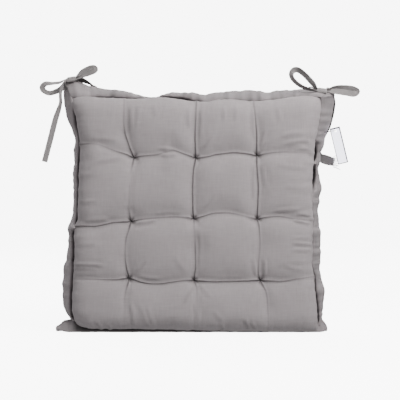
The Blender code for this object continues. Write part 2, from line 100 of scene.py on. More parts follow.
# Looser wrinkles: a route (x, z), its depth and its width. The cloth ruckles where the lines stop short.
WRINKLES = [
    ([(-54, 270.5), (-42, 270.4), (-33, 268.8)], 1.1, 2.2),
    ([(-50, 261), (-38, 260.4), (-26, 261)], 1, 2.2), ([(-145, 250), (-122, 254), (-104, 256)], 0.8, 3),
    ([(-170, 232), (-152, 232.5), (-142, 236)], 0.7, 3),
    ([(-150, 286), (-128, 284.6), (-112, 282)], 0.6, 3),
    ([(-93, 333), (-92, 312), (-92.5, 297)], 0.9, 2.5), ([(-83, 333), (-83.5, 318), (-86, 300)], 0.6, 3),
    ([(-11, 330), (-10, 314), (-8, 300)], 0.7, 2.6),
    ([(-167, 193), (-152, 193.4), (-140, 194.6)], 0.7, 2.6),
    ([(-160, 165.5), (-142, 167), (-126, 168.4)], 0.9, 2.6),
    ([(-177, 101), (-156, 102), (-133, 101)], 1.5, 2.2),
    ([(-177, 96), (-158, 96.6), (-140, 94.6)], 1, 2.2), ([(-178, 88), (-158, 90), (-140, 88)], 0.6, 3),
    ([(-173, 130), (-156, 130.6), (-142, 132)], 0.6, 3),
    ([(-86, 161.6), (-72, 162.8), (-56, 165.4)], 1.4, 2.2),
    ([(-60, 175.4), (-38, 178), (-16, 176)], 0.6, 2.6), ([(-93, 46), (-90, 28), (-88.6, 12)], 1, 2.4),
    ([(-80, 45), (-74, 28), (-67, 9)], 0.7, 2.6), ([(-70, 42), (-66, 28), (-61, 14)], 0.5, 2.6),
    ([(-143, 20), (-139, 10), (-137, 4)], 0.9, 2.4), ([(-127, 16), (-125, 8), (-124, 3)], 0.8, 2.4),
    ([(39, 16), (40, 9), (41, 3)], 1.2, 2), ([(73, 24), (76, 14), (78, 5)], 1.4, 2.2),
    ([(82, 20), (85, 12), (90, 5)], 0.9, 2.2), ([(28, 34), (35, 26), (41, 20)], 0.6, 2.6),
    ([(8, 72), (17, 60), (25, 52)], 0.5, 2.4), ([(0, 70), (-10, 58), (-16, 44)], 0.6, 3),
    ([(89, 84), (86, 98), (84, 112)], 1, 2.2), ([(101, 84), (101.6, 96), (101, 110)], 1.3, 2.2),
    ([(8, 150), (8, 124), (6, 96)], 0.6, 2.4), ([(86, 246), (84.6, 222), (85, 196)], 0.9, 2.2),
    ([(98, 248), (100.5, 230), (103, 214)], 0.6, 2.6), ([(83, 330), (84, 306), (86, 284)], 0.7, 2.4),
    ([(10, 330), (9.5, 306), (8, 284)], 0.6, 2.4), ([(115, 180), (135, 182), (156, 183)], 1.1, 2.2),
    ([(148, 176.4), (160, 175.6), (170, 172)], 1, 2), ([(142, 165.8), (156, 163.4), (168, 160)], 1, 2),
    ([(165, 169), (172, 167.6), (178, 167)], 0.8, 2), ([(139, 140.6), (152, 140), (170, 141)], 0.6, 2.2),
    ([(140, 133.4), (156, 131.8), (174, 129)], 1.3, 2), ([(142, 123.4), (156, 122.6), (170, 123)], 0.8, 2),
    ([(129, 101.6), (146, 96), (158, 94)], 0.6, 2.6), ([(122, 101), (140, 106), (160, 106)], 0.4, 3),
    ([(128, 276.6), (146, 281), (160, 282.4), (168, 276)], 0.9, 2.6),
    ([(124, 287), (140, 292), (158, 292)], 0.7, 3), ([(150, 271), (162, 270), (172, 265)], 0.7, 2.6),
    ([(118, 247), (142, 243), (166, 240)], 0.5, 3.2), ([(130, 215), (150, 213), (170, 214)], 0.5, 3),
    ([(103, 300), (99, 286), (95, 272)], 0.8, 2.6), ([(104, 283), (100, 274), (96, 267)], 0.7, 2.2),
    ([(12, 272), (20, 281), (26, 292)], 0.6, 3), ([(14, 184), (24, 196), (30, 208)], 0.5, 3),
    ([(-14, 92), (-24, 104), (-30, 116)], 0.5, 3.2), ([(-86, 92), (-76, 100), (-68, 110)], 0.6, 3),
    ([(-80, 86.5), (-66, 83), (-50, 81.5)], 0.7, 2.2), ([(30, 83), (52, 83.6), (76, 83)], 0.4, 2.2),
    ([(120, 330), (122, 320), (124, 308)], 0.6, 2.8), ([(-60, 336), (-58, 326), (-57, 316)], 0.5, 2.8),
    ([(40, 332), (42, 322), (42, 312)], 0.6, 2.6), ([(58, 334), (59, 322), (58, 310)], 0.5, 2.6),
]
# In mm: the deepest figure in the lines above, the width of a crease, the wide valley that a line lies
# in, the dimple round a tuft, and the stitch at its bottom.
DEEPEST_LINE = 11
CREASE_WIDTH = 1.5
VALLEY_WIDTH = 12.0
VALLEY_DEPTH = 6.5
TUFT_DEPTH = 22.0
TUFT_SPREAD = 6.2
STITCH_REACH = 1.9
STITCH_RADIUS = 0.6

# The square that the body's grid is laid out on: its outer lines and its three lines of tufts.
NOMINAL_X = [-176, -92, 0, 92, 176]
NOMINAL_Z = [0, 78, 168, 258, 346]
# In mm, but for the turn: half the body's thickness at its crown, how far in its sides are round, half
# its thickness at the seam, how far its sides curl back in to the seam, and where its widest line lies
# (along y); then the grid's fine step, its wide step and how far from a line of tufts the fine one goes.
CROWN = 31.0
EDGE_ROUND = 27.0
SEAM_HALF = 0.9
SEAM_TURN = math.radians(38)
BODY_WIDEST_AT = -15.0
FINE_STEP = 1.8
WIDE_STEP = 4.4
FINE_REACH = 8.0

# The flange in mm. Sides: height where it leaves the body, then its folded edge's height, x and y, and
# how wide a gap shows between it and the body. Top: the same with x in place of height.
FLANGE_LEFT = [
    (14, 16, -182, 5, 1.6), (19, 21, -184.5, 7, 2.6), (25, 25, -188.5, 8, 3), (32, 32, -191, 8, 3),
    (42, 42, -194.5, 8, 3), (66, 66, -195.2, 8, 2.6), (84, 84, -194, 8, 1.6), (97, 97, -192.4, 8, 1.8),
    (106, 106, -190.4, 9, 3.2), (120, 120, -187.4, 9, 3.6), (135, 135, -186.4, 9, 3.4),
    (147, 147, -186.8, 9, 2.4), (154, 154, -186.8, 9, 0.2), (160, 160, -184.6, 9, 0.8),
    (176, 176, -180, 10, 1.2), (196, 196, -179, 10, 1.2), (218, 218, -179.6, 10, 1),
    (228, 228, -179.4, 10, 3), (240, 240, -178.8, 10, 2.4), (256, 256, -178, 10, 2.2),
    (275, 275, -176.6, 10, 2), (286, 286, -177, 10, 1.2), (296, 296, -179.4, 9, 2.2),
    (306, 306, -183.4, 8, 3.6), (316, 316, -187.6, 7, 2.4), (326, 327, -191, 6, 0.8),
    (335, 340, -193.2, 5, 0.2), (341, 354, -193.4, 4, 0.2), (344, 366.5, -191.5, 3, 0.2),
]
FLANGE_RIGHT = [
    (8, 8, 190, 5, 1.2), (16, 19, 187.5, 7, 2.8), (28, 28, 187.6, 8, 3.2), (40, 40, 188.8, 8, 3),
    (52, 52, 189.4, 8, 2.4), (62, 62, 189.6, 8, 1.6), (74, 74, 187.6, 8, 1.4), (86, 86, 184.6, 9, 0.7),
    (98, 98, 183.8, 9, 0.2), (112, 112, 184.6, 9, 0.3), (130, 130, 184.4, 9, 0.4),
    (147, 147, 184.2, 9, 0.3), (164, 164, 182.4, 9, 0.4), (178, 178, 181.6, 9, 0.3),
    (196, 196, 182.6, 9, 0.3), (208, 208, 184.4, 9, 0.6), (216, 216, 185.2, 9, 2.4),
    (224, 224, 184, 9, 4.4), (234, 234, 182, 9, 5.2), (242, 242, 180.8, 9, 3.6), (249, 249, 183, 8, 0.3),
    (254, 254, 184, 8, 2.6), (264, 264, 185, 8, 4), (273, 273, 187.6, 7, 3.2), (280, 280, 189.8, 6, 0.6),
    (288, 288, 191.4, 4, 0.2), (300, 300, 195.2, 3, 0.2), (312, 312, 198.6, 3, 0.2),
    (325, 325, 201.6, 3, 0.2), (335, 337, 204, 2, 0.2), (342, 348, 204.8, 1, 0.2),
    (347, 356, 203.5, 1, 0.2),
]
FLANGE_TOP = [
    (-181, -192, 366, 4, 0.2), (-173, -178, 371.5, 5, 0.2), (-162, -163, 365.5, 6, 0.3),
    (-148, -152, 361, 8, 0.8), (-132, -132, 357.6, 9, 1), (-108, -108, 355.7, 10, 1),
    (-88, -88, 350.8, 11, 0.8), (-72, -72, 346.2, 12, 0.4), (-55, -55, 346.2, 12, 0.4),
    (-40, -40, 351.5, 11, 2.6), (-28, -28, 352.6, 11, 3.6), (-16, -16, 352.8, 11, 3.4),
    (-3, -3, 352.4, 11, 1.8), (12, 12, 350, 11, 0.4), (32, 32, 352.9, 10, 0.3), (58, 58, 355.2, 10, 0.25),
    (81, 81, 355.9, 9, 0.3), (94, 94, 354.4, 10, 0.4), (103, 103, 352.8, 10, 0.5),
    (118, 118, 355.4, 9, 0.3), (128, 128, 356.2, 9, 0.25), (145, 145, 356.8, 8, 0.2),
    (157, 157, 357, 7, 0.2), (168, 170, 356.6, 6, 0.2), (176, 188, 357.5, 4, 0.2),
    (181, 204.5, 353.5, 2, 0.2), (184, 206, 345, 2, 0.2),
]
# The lowest flange, along x: how far back it reaches, how high its folded front stands, and how far its
# foot hangs above the floor.
UNDER_REACH = [
    (-206, 3), (-196, 9), (-180, 17), (-150, 20), (-120, 21), (-90, 19), (-60, 20), (-30, 21), (0, 20),
    (35, 19), (70, 20), (105, 21), (140, 20), (178, 18), (190, 9), (196, 3),
]
UNDER_FRONT = [
    (-206, 8.2), (-203, 10), (-198, 12.4), (-193, 16), (-188, 19.5), (-184, 20.5), (-180, 18.5),
    (-176, 14.5), (-171, 10.5), (-165, 7.6), (-155, 6.2), (-120, 5.8), (-80, 5.6), (-40, 4.9), (0, 4.2),
    (60, 3.6), (140, 3.4), (165, 3.8), (173, 6), (179, 12), (183, 18), (186.5, 20.5), (190, 17),
    (193, 12.5), (196, 7.5),
]
UNDER_FOOT = [(-206, 6.4), (-200, 3.6), (-193, 1), (-186, 0.05), (184, 0.05), (190, 1), (196, 4.4)]
# Under the pad, the heights of its two faces; and the step between its sections.
UNDER_SOLE = 0.2
UNDER_UPPER = 2.1
UNDER_STEP = 2.0

TAPE_WIDTH = 8.5
TAPE_THICKNESS = 0.9
TAPE_STEP = 1.5
# Half of a tape's outline, as shares of its half width and half thickness: thicker near its edges.
TAPE_PROFILE = [
    (-1, 0), (-0.97, 0.9), (-0.84, 1.15), (-0.72, 0.8), (-0.4, 0.85),
    (0, 0.95), (0.4, 0.85), (0.72, 0.8), (0.84, 1.15), (0.97, 0.9),
]
# The loose threads at the raw end of the right-hand tail: how many, half their spread, and their radius.
FRAY_THREADS = 17
FRAY_SPREAD = 7.4
FRAY_RADIUS = 0.32
# A tape is this share of its width within the grip of the knot, and its full width beyond the reach.
KNOT_WIDTH_SHARE = 0.54
KNOT_GRIP = 6.5
KNOT_REACH = 11.0
# The knot's turn of tape in mm: its outline across and how far that is spread, its half depth and half
# height round the strands, and how steeply it climbs across the bow.
KNOT_PROFILE = [
    (-4.6, 0.1), (-4.3, 0.9), (-3, 1.35), (-1.2, 1), (0.4, 1.45), (2.2, 1.05),
    (3.4, 1.4), (4.3, 0.9), (4.6, 0.1), (4, -0.2), (0, -0.2), (-4, -0.2),
]
KNOT_SPREAD = 1.8
KNOT_DEPTH = 5.6
KNOT_HEIGHT = 3.0
KNOT_CLIMB = 0.14
LEFT_KNOT = (-182.3, -2.0, 372.6)
RIGHT_KNOT = (186.0, -9.0, 355.7)

# Each row of a tape: its centre x, y, z, how far its width is turned towards the front, in degrees
# (at 0 the tape is seen on edge, at 90 it is seen flat), and how much painted shade darkens it there, 0 to
# 1.
LEFT_TIE_FRONT = [
    (-181, -4.6, 350.5, 90, 0.4), (-186.5, -5.2, 356.5, 60, 0.5), (-190.3, -7.4, 363, 30, 0.5),
    (-190.9, -7.6, 368.5, 0, 0.3), (-188, -5.6, 371.2, 0, 0), (-182.3, -4.7, 371.4, 0, 0),
    (-177, -5.2, 372.6, 40, 0.1), (-166, -6.8, 378.6, 72, 0.15), (-155, -7.4, 382.2, 80, 0.3),
    (-146.5, -8.2, 386.4, 90, 0.1), (-148.4, -6.6, 390, 114, 0.35), (-155, -5.6, 389.2, 116, 0.45),
    (-164, -5.8, 384.6, 116, 0.35), (-171.5, -5.8, 379, 142, 0.2), (-177, -5.2, 375, 172, 0),
    (-182.3, -4.7, 373.8, 180, 0), (-187.2, -5.6, 372.6, 185, 0), (-191.2, -8.4, 368.4, 200, 0.1),
    (-194.4, -10.4, 363, 206, 0.1), (-196.6, -11.4, 356.6, 204, 0.1), (-197.2, -10.4, 348, 204, 0.1),
    (-197.6, -8, 338.5, 208, 0.05), (-200.5, -6.5, 328, 226, 0), (-205.5, -5.5, 313, 256, 0),
    (-213, -5, 284, 266, 0), (-221.5, -5, 251.5, 270, 0),
]
LEFT_TIE_BACK = [
    (-177, 10, 354, -90, 0.5), (-172.5, 10.8, 361.6, -90, 0.6), (-169.4, 10.6, 367.4, -60, 0.8),
    (-172.6, 5, 371, -40, 0.6), (-177, 1.6, 371.4, -12, 0.2), (-182.3, 0.7, 371.4, 0, 0),
    (-188, 1.4, 370.4, 20, 0.1), (-192.6, 4.4, 365, 60, 0.2), (-197.5, 5.2, 359.6, 96, 0.15),
    (-205.6, 5.4, 355.4, 114, 0.1), (-214.6, 5.4, 353, 120, 0.05), (-222, 5.2, 355.6, 122, 0.2),
    (-225.6, 5, 361.2, 104, 0.35), (-220.5, 5, 366.8, 62, 0.1), (-210.5, 5.2, 367.4, 32, 0.05),
    (-200.5, 5, 368.4, 27, 0.1), (-193, 3.8, 372, 12, 0.1), (-187.6, 1.6, 373.8, 0, 0),
    (-182.3, 0.7, 373.8, 0, 0), (-177, 1.6, 373.8, -12, 0.3), (-171.5, 4.5, 373.2, -38, 0.8),
    (-166, 8.5, 372.2, -48, 0.9), (-160.5, 13.5, 369.6, -35, 0.8), (-154, 20, 365.8, -18, 0.5),
    (-148.5, 26.5, 360.5, -60, 0.2), (-144, 33, 350, -85, 0), (-142, 36.5, 335, -90, 0),
    (-142.5, 37, 310, -90, 0), (-145, 37, 286, -90, 0),
]
RIGHT_TIE_FRONT = [
    (194, 6, 338, -90, 0.4), (196.5, 6.4, 347.5, -75, 0.4), (197.4, 2.4, 356.6, -30, 0.3),
    (194, -6, 358.4, -8, 0.2), (186, -11.7, 354.5, 0, 0), (180.2, -12.4, 354.9, 4, 0.2),
    (171, -14.6, 357.2, 20, 0.6), (159.5, -15, 360.6, 32, 0.5), (149.5, -15, 366.4, 36, 0.3),
    (142.4, -15, 374.4, 40, 0.15), (141.2, -15, 381.4, 55, 0.15), (145.6, -15, 386, 90, 0.4),
    (152, -15, 385.6, 112, 0.65), (161, -15, 378.8, 122, 0.5), (171, -14.6, 368, 122, 0.4),
    (179, -12.8, 358.8, 150, 0.3), (186, -11.7, 356.9, 180, 0), (191.4, -9.6, 357.6, 178, 0),
    (196.8, -3.6, 358.6, 170, 0.1), (201.6, 3.6, 355.2, 160, 0.4), (204.2, 8, 346.6, 152, 0.8),
    (205.6, 9.4, 337, 152, 0.95), (203.6, 10.6, 323.5, 152, 0.8), (200.9, 12.4, 311.5, 150, 0.6),
    (197.4, 14.4, 301, 150, 0.5), (190.4, 17.8, 287.5, 145, 0.5), (184.6, 20.2, 275, 140, 0.5),
    (183, 20.6, 265.5, 120, 0.5), (186.6, 19.6, 258.4, 98, 0.5), (195, 17.2, 254.4, 90, 0.45),
    (206.6, 14, 251, 90, 0.4),
]
RIGHT_TIE_BACK = [
    (171, -4.4, 353.5, 60, 0.3), (175.5, -5, 354.4, 45, 0.2), (180.6, -6.1, 354.5, 0, 0),
    (186, -6.3, 354.5, 0, 0), (191.6, -5.6, 354.9, 20, 0), (202.5, -6, 355.6, 66, 0.05),
    (213.5, -6.6, 354.2, 84, 0), (224, -6.6, 352.6, 90, 0), (233.5, -6, 351.2, 90, 0.1),
    (239, -4.6, 355.2, 62, 0.2), (233, -3.2, 358.8, 74, 0.3), (222, -3, 360.4, 74, 0.35),
    (207, -4, 360.8, 40, 0.15), (195, -5.4, 358.6, 10, 0), (186, -6.3, 356.9, 0, 0),
    (180.2, -5.2, 357.6, 0, 0.1), (175.4, -1.6, 359.6, 4, 0.1), (172, 4, 361, 4, 0),
    (169.6, 10.5, 360.6, 8, 0), (168, 17.5, 356, 30, 0), (167, 24, 346.5, 70, 0), (166, 30.5, 328, 90, 0),
    (166, 34, 303, 90, 0), (168, 35.5, 279, 90, 0),
]

# The hang tag in mm, tilted where it hangs, with the widths of the painted shade along its left, right,
# foot and top edges, and the thread that holds it.
TAG_PIVOT = (206.6, -6.0, 297.2)
TAG_SIZE = (15.3, 0.6, 54.4)
TAG_ABOVE_HOLE = 5.0
TAG_HOLE = 2.0
TAG_CORNER = 1.0
TAG_EDGE_SHADE_WIDTHS = (1.1, 1.8, 1.3, 2.4)
TAG_TILT = math.radians(-13.7)
TAG_THREAD = [
    (188.6, -1, 295), (188.4, 1.9, 295), (188.8, 5.2, 295), (192.6, 6.8, 295.4), (196.8, 4, 296),
    (199.2, -1.6, 296.6), (202.6, -3.8, 297), (206.6, -4.4, 297.2), (207, -6.2, 297.2),
    (206.4, -7.8, 297.2), (202, -8.6, 297), (196.6, -7.4, 296.2), (191.4, -4.2, 295.4),
]
TAG_THREAD_RADIUS = 0.45

# ---------------------------------------------------------------- camera and helpers

IMAGE_PIXELS = 400
MM_PER_PIXEL = 1.47
SENSOR_MM = 36
# In metres.
CAMERA_DISTANCE = 2.3
LOOK_AT = Vector((0.0074, -0.01, 0.1955))
CAMERA_RAISE = math.radians(1.5)


def seen_at(x, y, z):
    """Where a point at depth y has to be for the camera to see it at x and z."""
    grows = 1 + y * MM / CAMERA_DISTANCE
    middle_x, _, middle_z = LOOK_AT / MM
    return middle_x + (x - middle_x) * grows, middle_z + (z - middle_z) * grows


def make_camera():
    data = bpy.data.cameras.new("camera")
    data.sensor_width = SENSOR_MM
    data.lens = SENSOR_MM * CAMERA_DISTANCE / (IMAGE_PIXELS * MM_PER_PIXEL * MM)
    camera = bpy.data.objects.new("camera", data)
    bpy.context.scene.collection.objects.link(camera)
    away = Vector((0, -math.cos(CAMERA_RAISE), math.sin(CAMERA_RAISE)))
    camera.location = LOOK_AT + away * CAMERA_DISTANCE
    camera.rotation_euler = (-away).to_track_quat("-Z", "Y").to_euler()
    bpy.context.scene.camera = camera


def add_piece(name, points, faces, look, body="pad", smooth=True):
    """A named mesh, in millimetres, that rides on a body of the design."""
    mesh = bpy.data.meshes.new(name)
    mesh.from_pydata([Vector(point) * MM for point in points], [], faces)
    work = bmesh.new()
    work.from_mesh(mesh)
    bmesh.ops.recalc_face_normals(work, faces=work.faces)
    work.to_mesh(mesh)
    work.free()
    mesh.polygons.foreach_set("use_smooth", [smooth] * len(mesh.polygons))
    mesh.materials.append(look)
    piece = bpy.data.objects.new(name, mesh)
    bpy.context.scene.collection.objects.link(piece)
    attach(piece, body)
    return piece


def set_painted_shade(piece, values):
    """Painted shade for each point, 0 to 1, kept in the fold attribute that darkens the cloth's colour."""
    painted_shades = piece.data.attributes.new("fold", "FLOAT", "POINT")
    painted_shades.data.foreach_set("value", np.clip(np.asarray(values, float), 0, 1))


def add_modifier(piece, kind, **settings):
    made = piece.modifiers.new(kind.lower(), kind)
    for name, value in settings.items():
        setattr(made, name, value)


def at(table, where):
    """A table's value at one place, or at every place of an array."""
    places, values = zip(*table)
    return np.interp(where, places, values)


def soft_at(table, where, spread=8):
    """The table's value with its corners rounded off."""
    return sum(at(table, where + step * spread) for step in (-1, -0.5, 0, 0.5, 1)) / 5


def smooth_path(rows, spacing, closed=False):
    """Evenly spaced samples of a smooth curve through every row of numbers."""
    rows = [np.array(row, float) for row in rows]
    count = len(rows)
    spans = count if closed else count - 1
    dense = []
    for k in range(spans):
        if closed:
            p0, p1, p2, p3 = (rows[(k + step) % count] for step in (-1, 0, 1, 2))
        else:
            p0, p1, p2, p3 = (rows[min(max(k + step, 0), count - 1)] for step in (-1, 0, 1, 2))
        for t in np.linspace(0, 1, 24, endpoint=False):
            bend = 2 * p0 - 5 * p1 + 4 * p2 - p3
            twist = 3 * p1 - p0 - 3 * p2 + p3
            dense.append(0.5 * (2 * p1 + (p2 - p0) * t + bend * t**2 + twist * t**3))
    dense.append(rows[0] if closed else rows[-1])
    dense = np.array(dense)
    steps = np.linalg.norm(np.diff(dense[:, :3], axis=0), axis=1)
    length = np.concatenate([[0], np.cumsum(steps)])
    pieces = max(2, round(length[-1] / spacing))
    wanted = np.linspace(0, length[-1], pieces + 1)
    samples = np.stack([np.interp(wanted, length, dense[:, i]) for i in range(dense.shape[1])], axis=1)
    return samples[:-1] if closed else samples


def tangents(points, closed=False):
    if closed:
        step = np.roll(points, -1, axis=0) - np.roll(points, 1, axis=0)
    else:
        step = np.gradient(points, axis=0)
    return step / np.linalg.norm(step, axis=1)[:, None]


def path_length(points):
    return float(np.linalg.norm(np.diff(points, axis=0), axis=1).sum())


def strip_faces(rings, count, closed_along=False, caps=True):
    """Quads between neighbouring rings of points."""
    faces = []
    spans = rings if closed_along else rings - 1
    for k in range(spans):
        here, there = k * count, ((k + 1) % rings) * count
        for i in range(count):
            j = (i + 1) % count
            faces.append((here + i, here + j, there + j, there + i))
    if caps and not closed_along:
        faces.append(tuple(range(count)))
        faces.append(tuple(range((rings - 1) * count, rings * count)))
    return faces


def wave(position, seed):
    """A smooth uneven ripple between -1 and 1."""
    return noise.noise(Vector((position, seed * 7.3, 0.0))) * 2


# ---------------------------------------------------------------- materials

# Painted shade: how much darker the cloth's colour is made where its fold attribute is 1.
PAINTED_SHADE_STRENGTH = 0.86


def new_material(name):
    made = bpy.data.materials.new(name)
    made.use_nodes = True
    return made, made.node_tree.nodes, made.node_tree.links, made.node_tree.nodes["Principled BSDF"]


def stretched_noise(nodes, links, place, scale, stretch, detail=3):
    """Noise drawn out along an axis, as uneven yarn is."""
    mapping = nodes.new("ShaderNodeMapping")
    mapping.inputs["Scale"].default_value = stretch
    links.new(place, mapping.inputs["Vector"])
    grain = nodes.new("ShaderNodeTexNoise")
    grain.inputs["Scale"].default_value = scale
    grain.inputs["Detail"].default_value = detail
    grain.inputs["Roughness"].default_value = 0.6
    links.new(mapping.outputs["Vector"], grain.inputs["Vector"])
    return grain.outputs["Fac"]


def combine(nodes, links, operation, *values):
    """One maths node fed by sockets and constants."""
    node = nodes.new("ShaderNodeMath")
    node.operation = operation
    for socket, value in zip(node.inputs, values):
        if isinstance(value, (int, float)):
            socket.default_value = value
        else:
            links.new(value, socket)
    return node.outputs[0]


def add_bump(nodes, links, shader, height, strength, distance):
    """Relief on the surface, from a height socket."""
    bump = nodes.new("ShaderNodeBump")
    bump.inputs["Strength"].default_value = strength
    bump.inputs["Distance"].default_value = distance
    links.new(height, bump.inputs["Height"])
    links.new(bump.outputs["Normal"], shader.inputs["Normal"])


def add_tint(nodes, links, shader, color, shade):
    """The surface's colour, lighter and darker by a shade socket."""
    tint = nodes.new("ShaderNodeVectorMath")
    tint.operation = "SCALE"
    tint.inputs[0].default_value = color
    links.new(shade, tint.inputs["Scale"])
    links.new(tint.outputs["Vector"], shader.inputs["Base Color"])


def woven_cotton(name, color, yarn_mm, slub):
    """Plain-weave cotton: crossing yarns, uneven in thickness, matt, with painted shade darkening its
    colour in folds, gaps and recesses.
    """
    made, nodes, links, shader = new_material(name)
    place = nodes.new("ShaderNodeTexCoord").outputs["Object"]
    across = stretched_noise(nodes, links, place, 620, (0.07, 0.5, 1.0), 2)
    upward = stretched_noise(nodes, links, place, 620, (1.0, 0.5, 0.07), 2)
    broad = stretched_noise(nodes, links, place, 16, (1, 1, 1), 3)
    yarns = combine(nodes, links, "ADD", across, upward)
    uneven = combine(nodes, links, "MULTIPLY_ADD", yarns, slub, 1 - slub)
    patch = combine(nodes, links, "MULTIPLY_ADD", broad, 0.12, 0.94)
    shade = combine(nodes, links, "MULTIPLY", uneven, patch)
    # Painted shade: the fold attribute darkens the colour in creases, gaps and recesses where shade falls.
    fold = nodes.new("ShaderNodeAttribute")
    fold.attribute_name = "fold"
    unshaded_share = combine(nodes, links, "MULTIPLY_ADD", fold.outputs["Fac"], -PAINTED_SHADE_STRENGTH, 1.0)
    shade = combine(nodes, links, "MULTIPLY", shade, unshaded_share)
    add_tint(nodes, links, shader, color, shade)
    waves = []
    for direction in ("X", "Z"):
        thread = nodes.new("ShaderNodeTexWave")
        thread.bands_direction = direction
        thread.inputs["Scale"].default_value = math.tau / (20 * yarn_mm * MM)
        thread.inputs["Distortion"].default_value = 1.2
        thread.inputs["Detail"].default_value = 1
        thread.inputs["Detail Scale"].default_value = 0.4
        links.new(place, thread.inputs["Vector"])
        waves.append(thread.outputs["Fac"])
    weave = combine(nodes, links, "MULTIPLY", *waves)
    height = combine(nodes, links, "ADD", weave, yarns)
    add_bump(nodes, links, shader, height, strength=0.55, distance=0.09 * MM)
    shader.inputs["Roughness"].default_value = 0.95
    shader.inputs["Specular IOR Level"].default_value = 0.12
    shader.inputs["Sheen Weight"].default_value = 0.12
    shader.inputs["Sheen Roughness"].default_value = 0.6
    return made


def plain_material(name, color, roughness, grain=0.0, mottle=0.0, glow=0.0, shine=0.3):
    """A surface with a fine grain in its relief, a faint mottle in its colour, or a glow of its own."""
    made, nodes, links, shader = new_material(name)
    shader.inputs["Emission Color"].default_value = (*color, 1)
    shader.inputs["Emission Strength"].default_value = glow
    shader.inputs["Base Color"].default_value = (*color, 1)
    shader.inputs["Roughness"].default_value = roughness
    shader.inputs["Specular IOR Level"].default_value = shine
    place = nodes.new("ShaderNodeTexCoord").outputs["Object"]
    if grain:
        fleck = stretched_noise(nodes, links, place, 900, (1, 1, 1))
        add_bump(nodes, links, shader, fleck, strength=grain, distance=0.1 * MM)
    if mottle:
        cloud = stretched_noise(nodes, links, place, 130, (1, 1, 1))
        shade = combine(nodes, links, "MULTIPLY_ADD", cloud, mottle, 1 - mottle / 2)
        add_tint(nodes, links, shader, color, shade)
    return made


# ---------------------------------------------------------------- the quilted body

ALONG_X, ALONG_Z = 0, 1
FRONT, BACK = -1, 1
# Painted shade on the cover down in the recess at its seam, front and back.
SEAM_SHADES = {FRONT: 0.9, BACK: 0.1}
# In mm: the cover's cloth, the least half thickness that a crease leaves, and how far from the middle
# of the seam the creases reach their full depth.
CLOTH_THICKNESS = 0.7
LEAST_HALF = 3.4
CREASES_FADE = 8


def smooth_table(points, key):
    """A smooth curve through a line's points, in order along x or z, to look values up in."""
    dense = smooth_path(points, 2)
    return dense[np.argsort(dense[:, key], kind="stable")]


ROW_CURVES = [smooth_table(line, ALONG_X) for line in ROW_LINES]
COLUMN_CURVES = [smooth_table(line, ALONG_Z) for line in COLUMN_LINES]


def row_at(curve, x):
    """A row's height at x, and its depth there."""
    return np.interp(x, curve[:, 0], curve[:, 1]), np.interp(x, curve[:, 0], curve[:, 2])


def column_at(curve, z):
    """A column's x at height z, and its depth there."""
    return np.interp(z, curve[:, 1], curve[:, 0]), np.interp(z, curve[:, 1], curve[:, 2])


def side_profile():
    """From the seam, curled in behind the widest line, to the flat: distance in, and height, 0 to 1."""
    start = -math.degrees(SEAM_TURN)
    turns = [math.radians(angle) for angle in np.linspace(start, 90, 12)]
    low = math.sin(SEAM_TURN)
    return [(EDGE_ROUND * (1 - math.cos(turn)), (math.sin(turn) + low) / (1 + low), turn) for turn in turns]


def grid_lines(nominal):
    """Positions across the nominal square, close together along the lines of tufts and at the sides."""
    low, high = nominal[0] + EDGE_ROUND, nominal[-1] - EDGE_ROUND
    stops = [low]
    for line in nominal[1:-1]:
        stops += [line - FINE_REACH, line + FINE_REACH]
    stops.append(high)
    places = []
    for k, (start, end) in enumerate(zip(stops, stops[1:])):
        step = FINE_STEP if k % 2 else WIDE_STEP
        count = 2 * round((end - start) / step / 2)
        places += [start + (end - start) * i / count for i in range(count)]
    return places[1:]


def lay_out(nominal):
    """Every grid line: its nominal place, its way in from the widest line while it curls, and its rise."""
    lines = []
    for into, rise, turn in side_profile():
        if turn > 0:
            lines.append((nominal[0] + into, 0, rise))
        else:
            lines.append((nominal[0], into, rise))
    middle = [(place, 0, 1.0) for place in grid_lines(nominal)]
    far = [(nominal[-1] - (place - nominal[0]), -curl, rise) for place, curl, rise in reversed(lines)]
    return np.array(lines + middle + far)


def between(place, nominal, values):
    """A nominal place carried over to where it really is between its two neighbouring lines."""
    nominal = np.array(nominal, float)
    span = np.clip(np.searchsorted(nominal, place, side="right") - 1, 0, len(nominal) - 2)
    share = (place - nominal[span]) / (nominal[span + 1] - nominal[span])
    values = np.stack(values)
    low = np.take_along_axis(values, span[None], 0)[0]
    high = np.take_along_axis(values, span[None] + 1, 0)[0]
    return low + (high - low) * share


def body_grid():
    """The x, z and rise of every grid point, rows from the bottom up."""
    columns, rows = lay_out(NOMINAL_X), lay_out(NOMINAL_Z)
    nominal_x, nominal_z = np.meshgrid(columns[:, 0], rows[:, 0])
    x, z = nominal_x.copy(), nominal_z.copy()
    for _ in range(4):
        columns_at = [column_at(curve, z)[0] for curve in COLUMN_CURVES]
        rows_at = [row_at(curve, x)[0] for curve in ROW_CURVES]
        across = [soft_at(LEFT_EDGE, z), *columns_at, soft_at(RIGHT_EDGE, z)]
        upward = [soft_at(BOTTOM_EDGE, x), *rows_at, soft_at(TOP_EDGE, x)]
        x, z = between(nominal_x, NOMINAL_X, across), between(nominal_z, NOMINAL_Z, upward)
    x, z = seen_at(x, BODY_WIDEST_AT, z)
    x_rise, z_rise = np.meshgrid(columns[:, 2], rows[:, 2])
    x_curl, z_curl = np.meshgrid(columns[:, 1], rows[:, 1])
    return x + x_curl * z_rise, z + z_curl * x_rise, x_rise * z_rise


def distance_to_route(x, z, route):
    """Distance from points to a route, and how far along it the nearest place is, 0 to 1."""
    best = np.full(x.shape, 1e9)
    along = np.zeros(x.shape)
    spans = len(route) - 1
    for k in range(spans):
        (ax, az), (bx, bz) = route[k], route[k + 1]
        dx, dz = bx - ax, bz - az
        share = np.clip(((x - ax) * dx + (z - az) * dz) / (dx * dx + dz * dz), 0, 1)
        away = np.hypot(x - ax - share * dx, z - az - share * dz)
        closer = away < best
        best = np.where(closer, away, best)
        along = np.where(closer, (k + share) / spans, along)
    return best, along


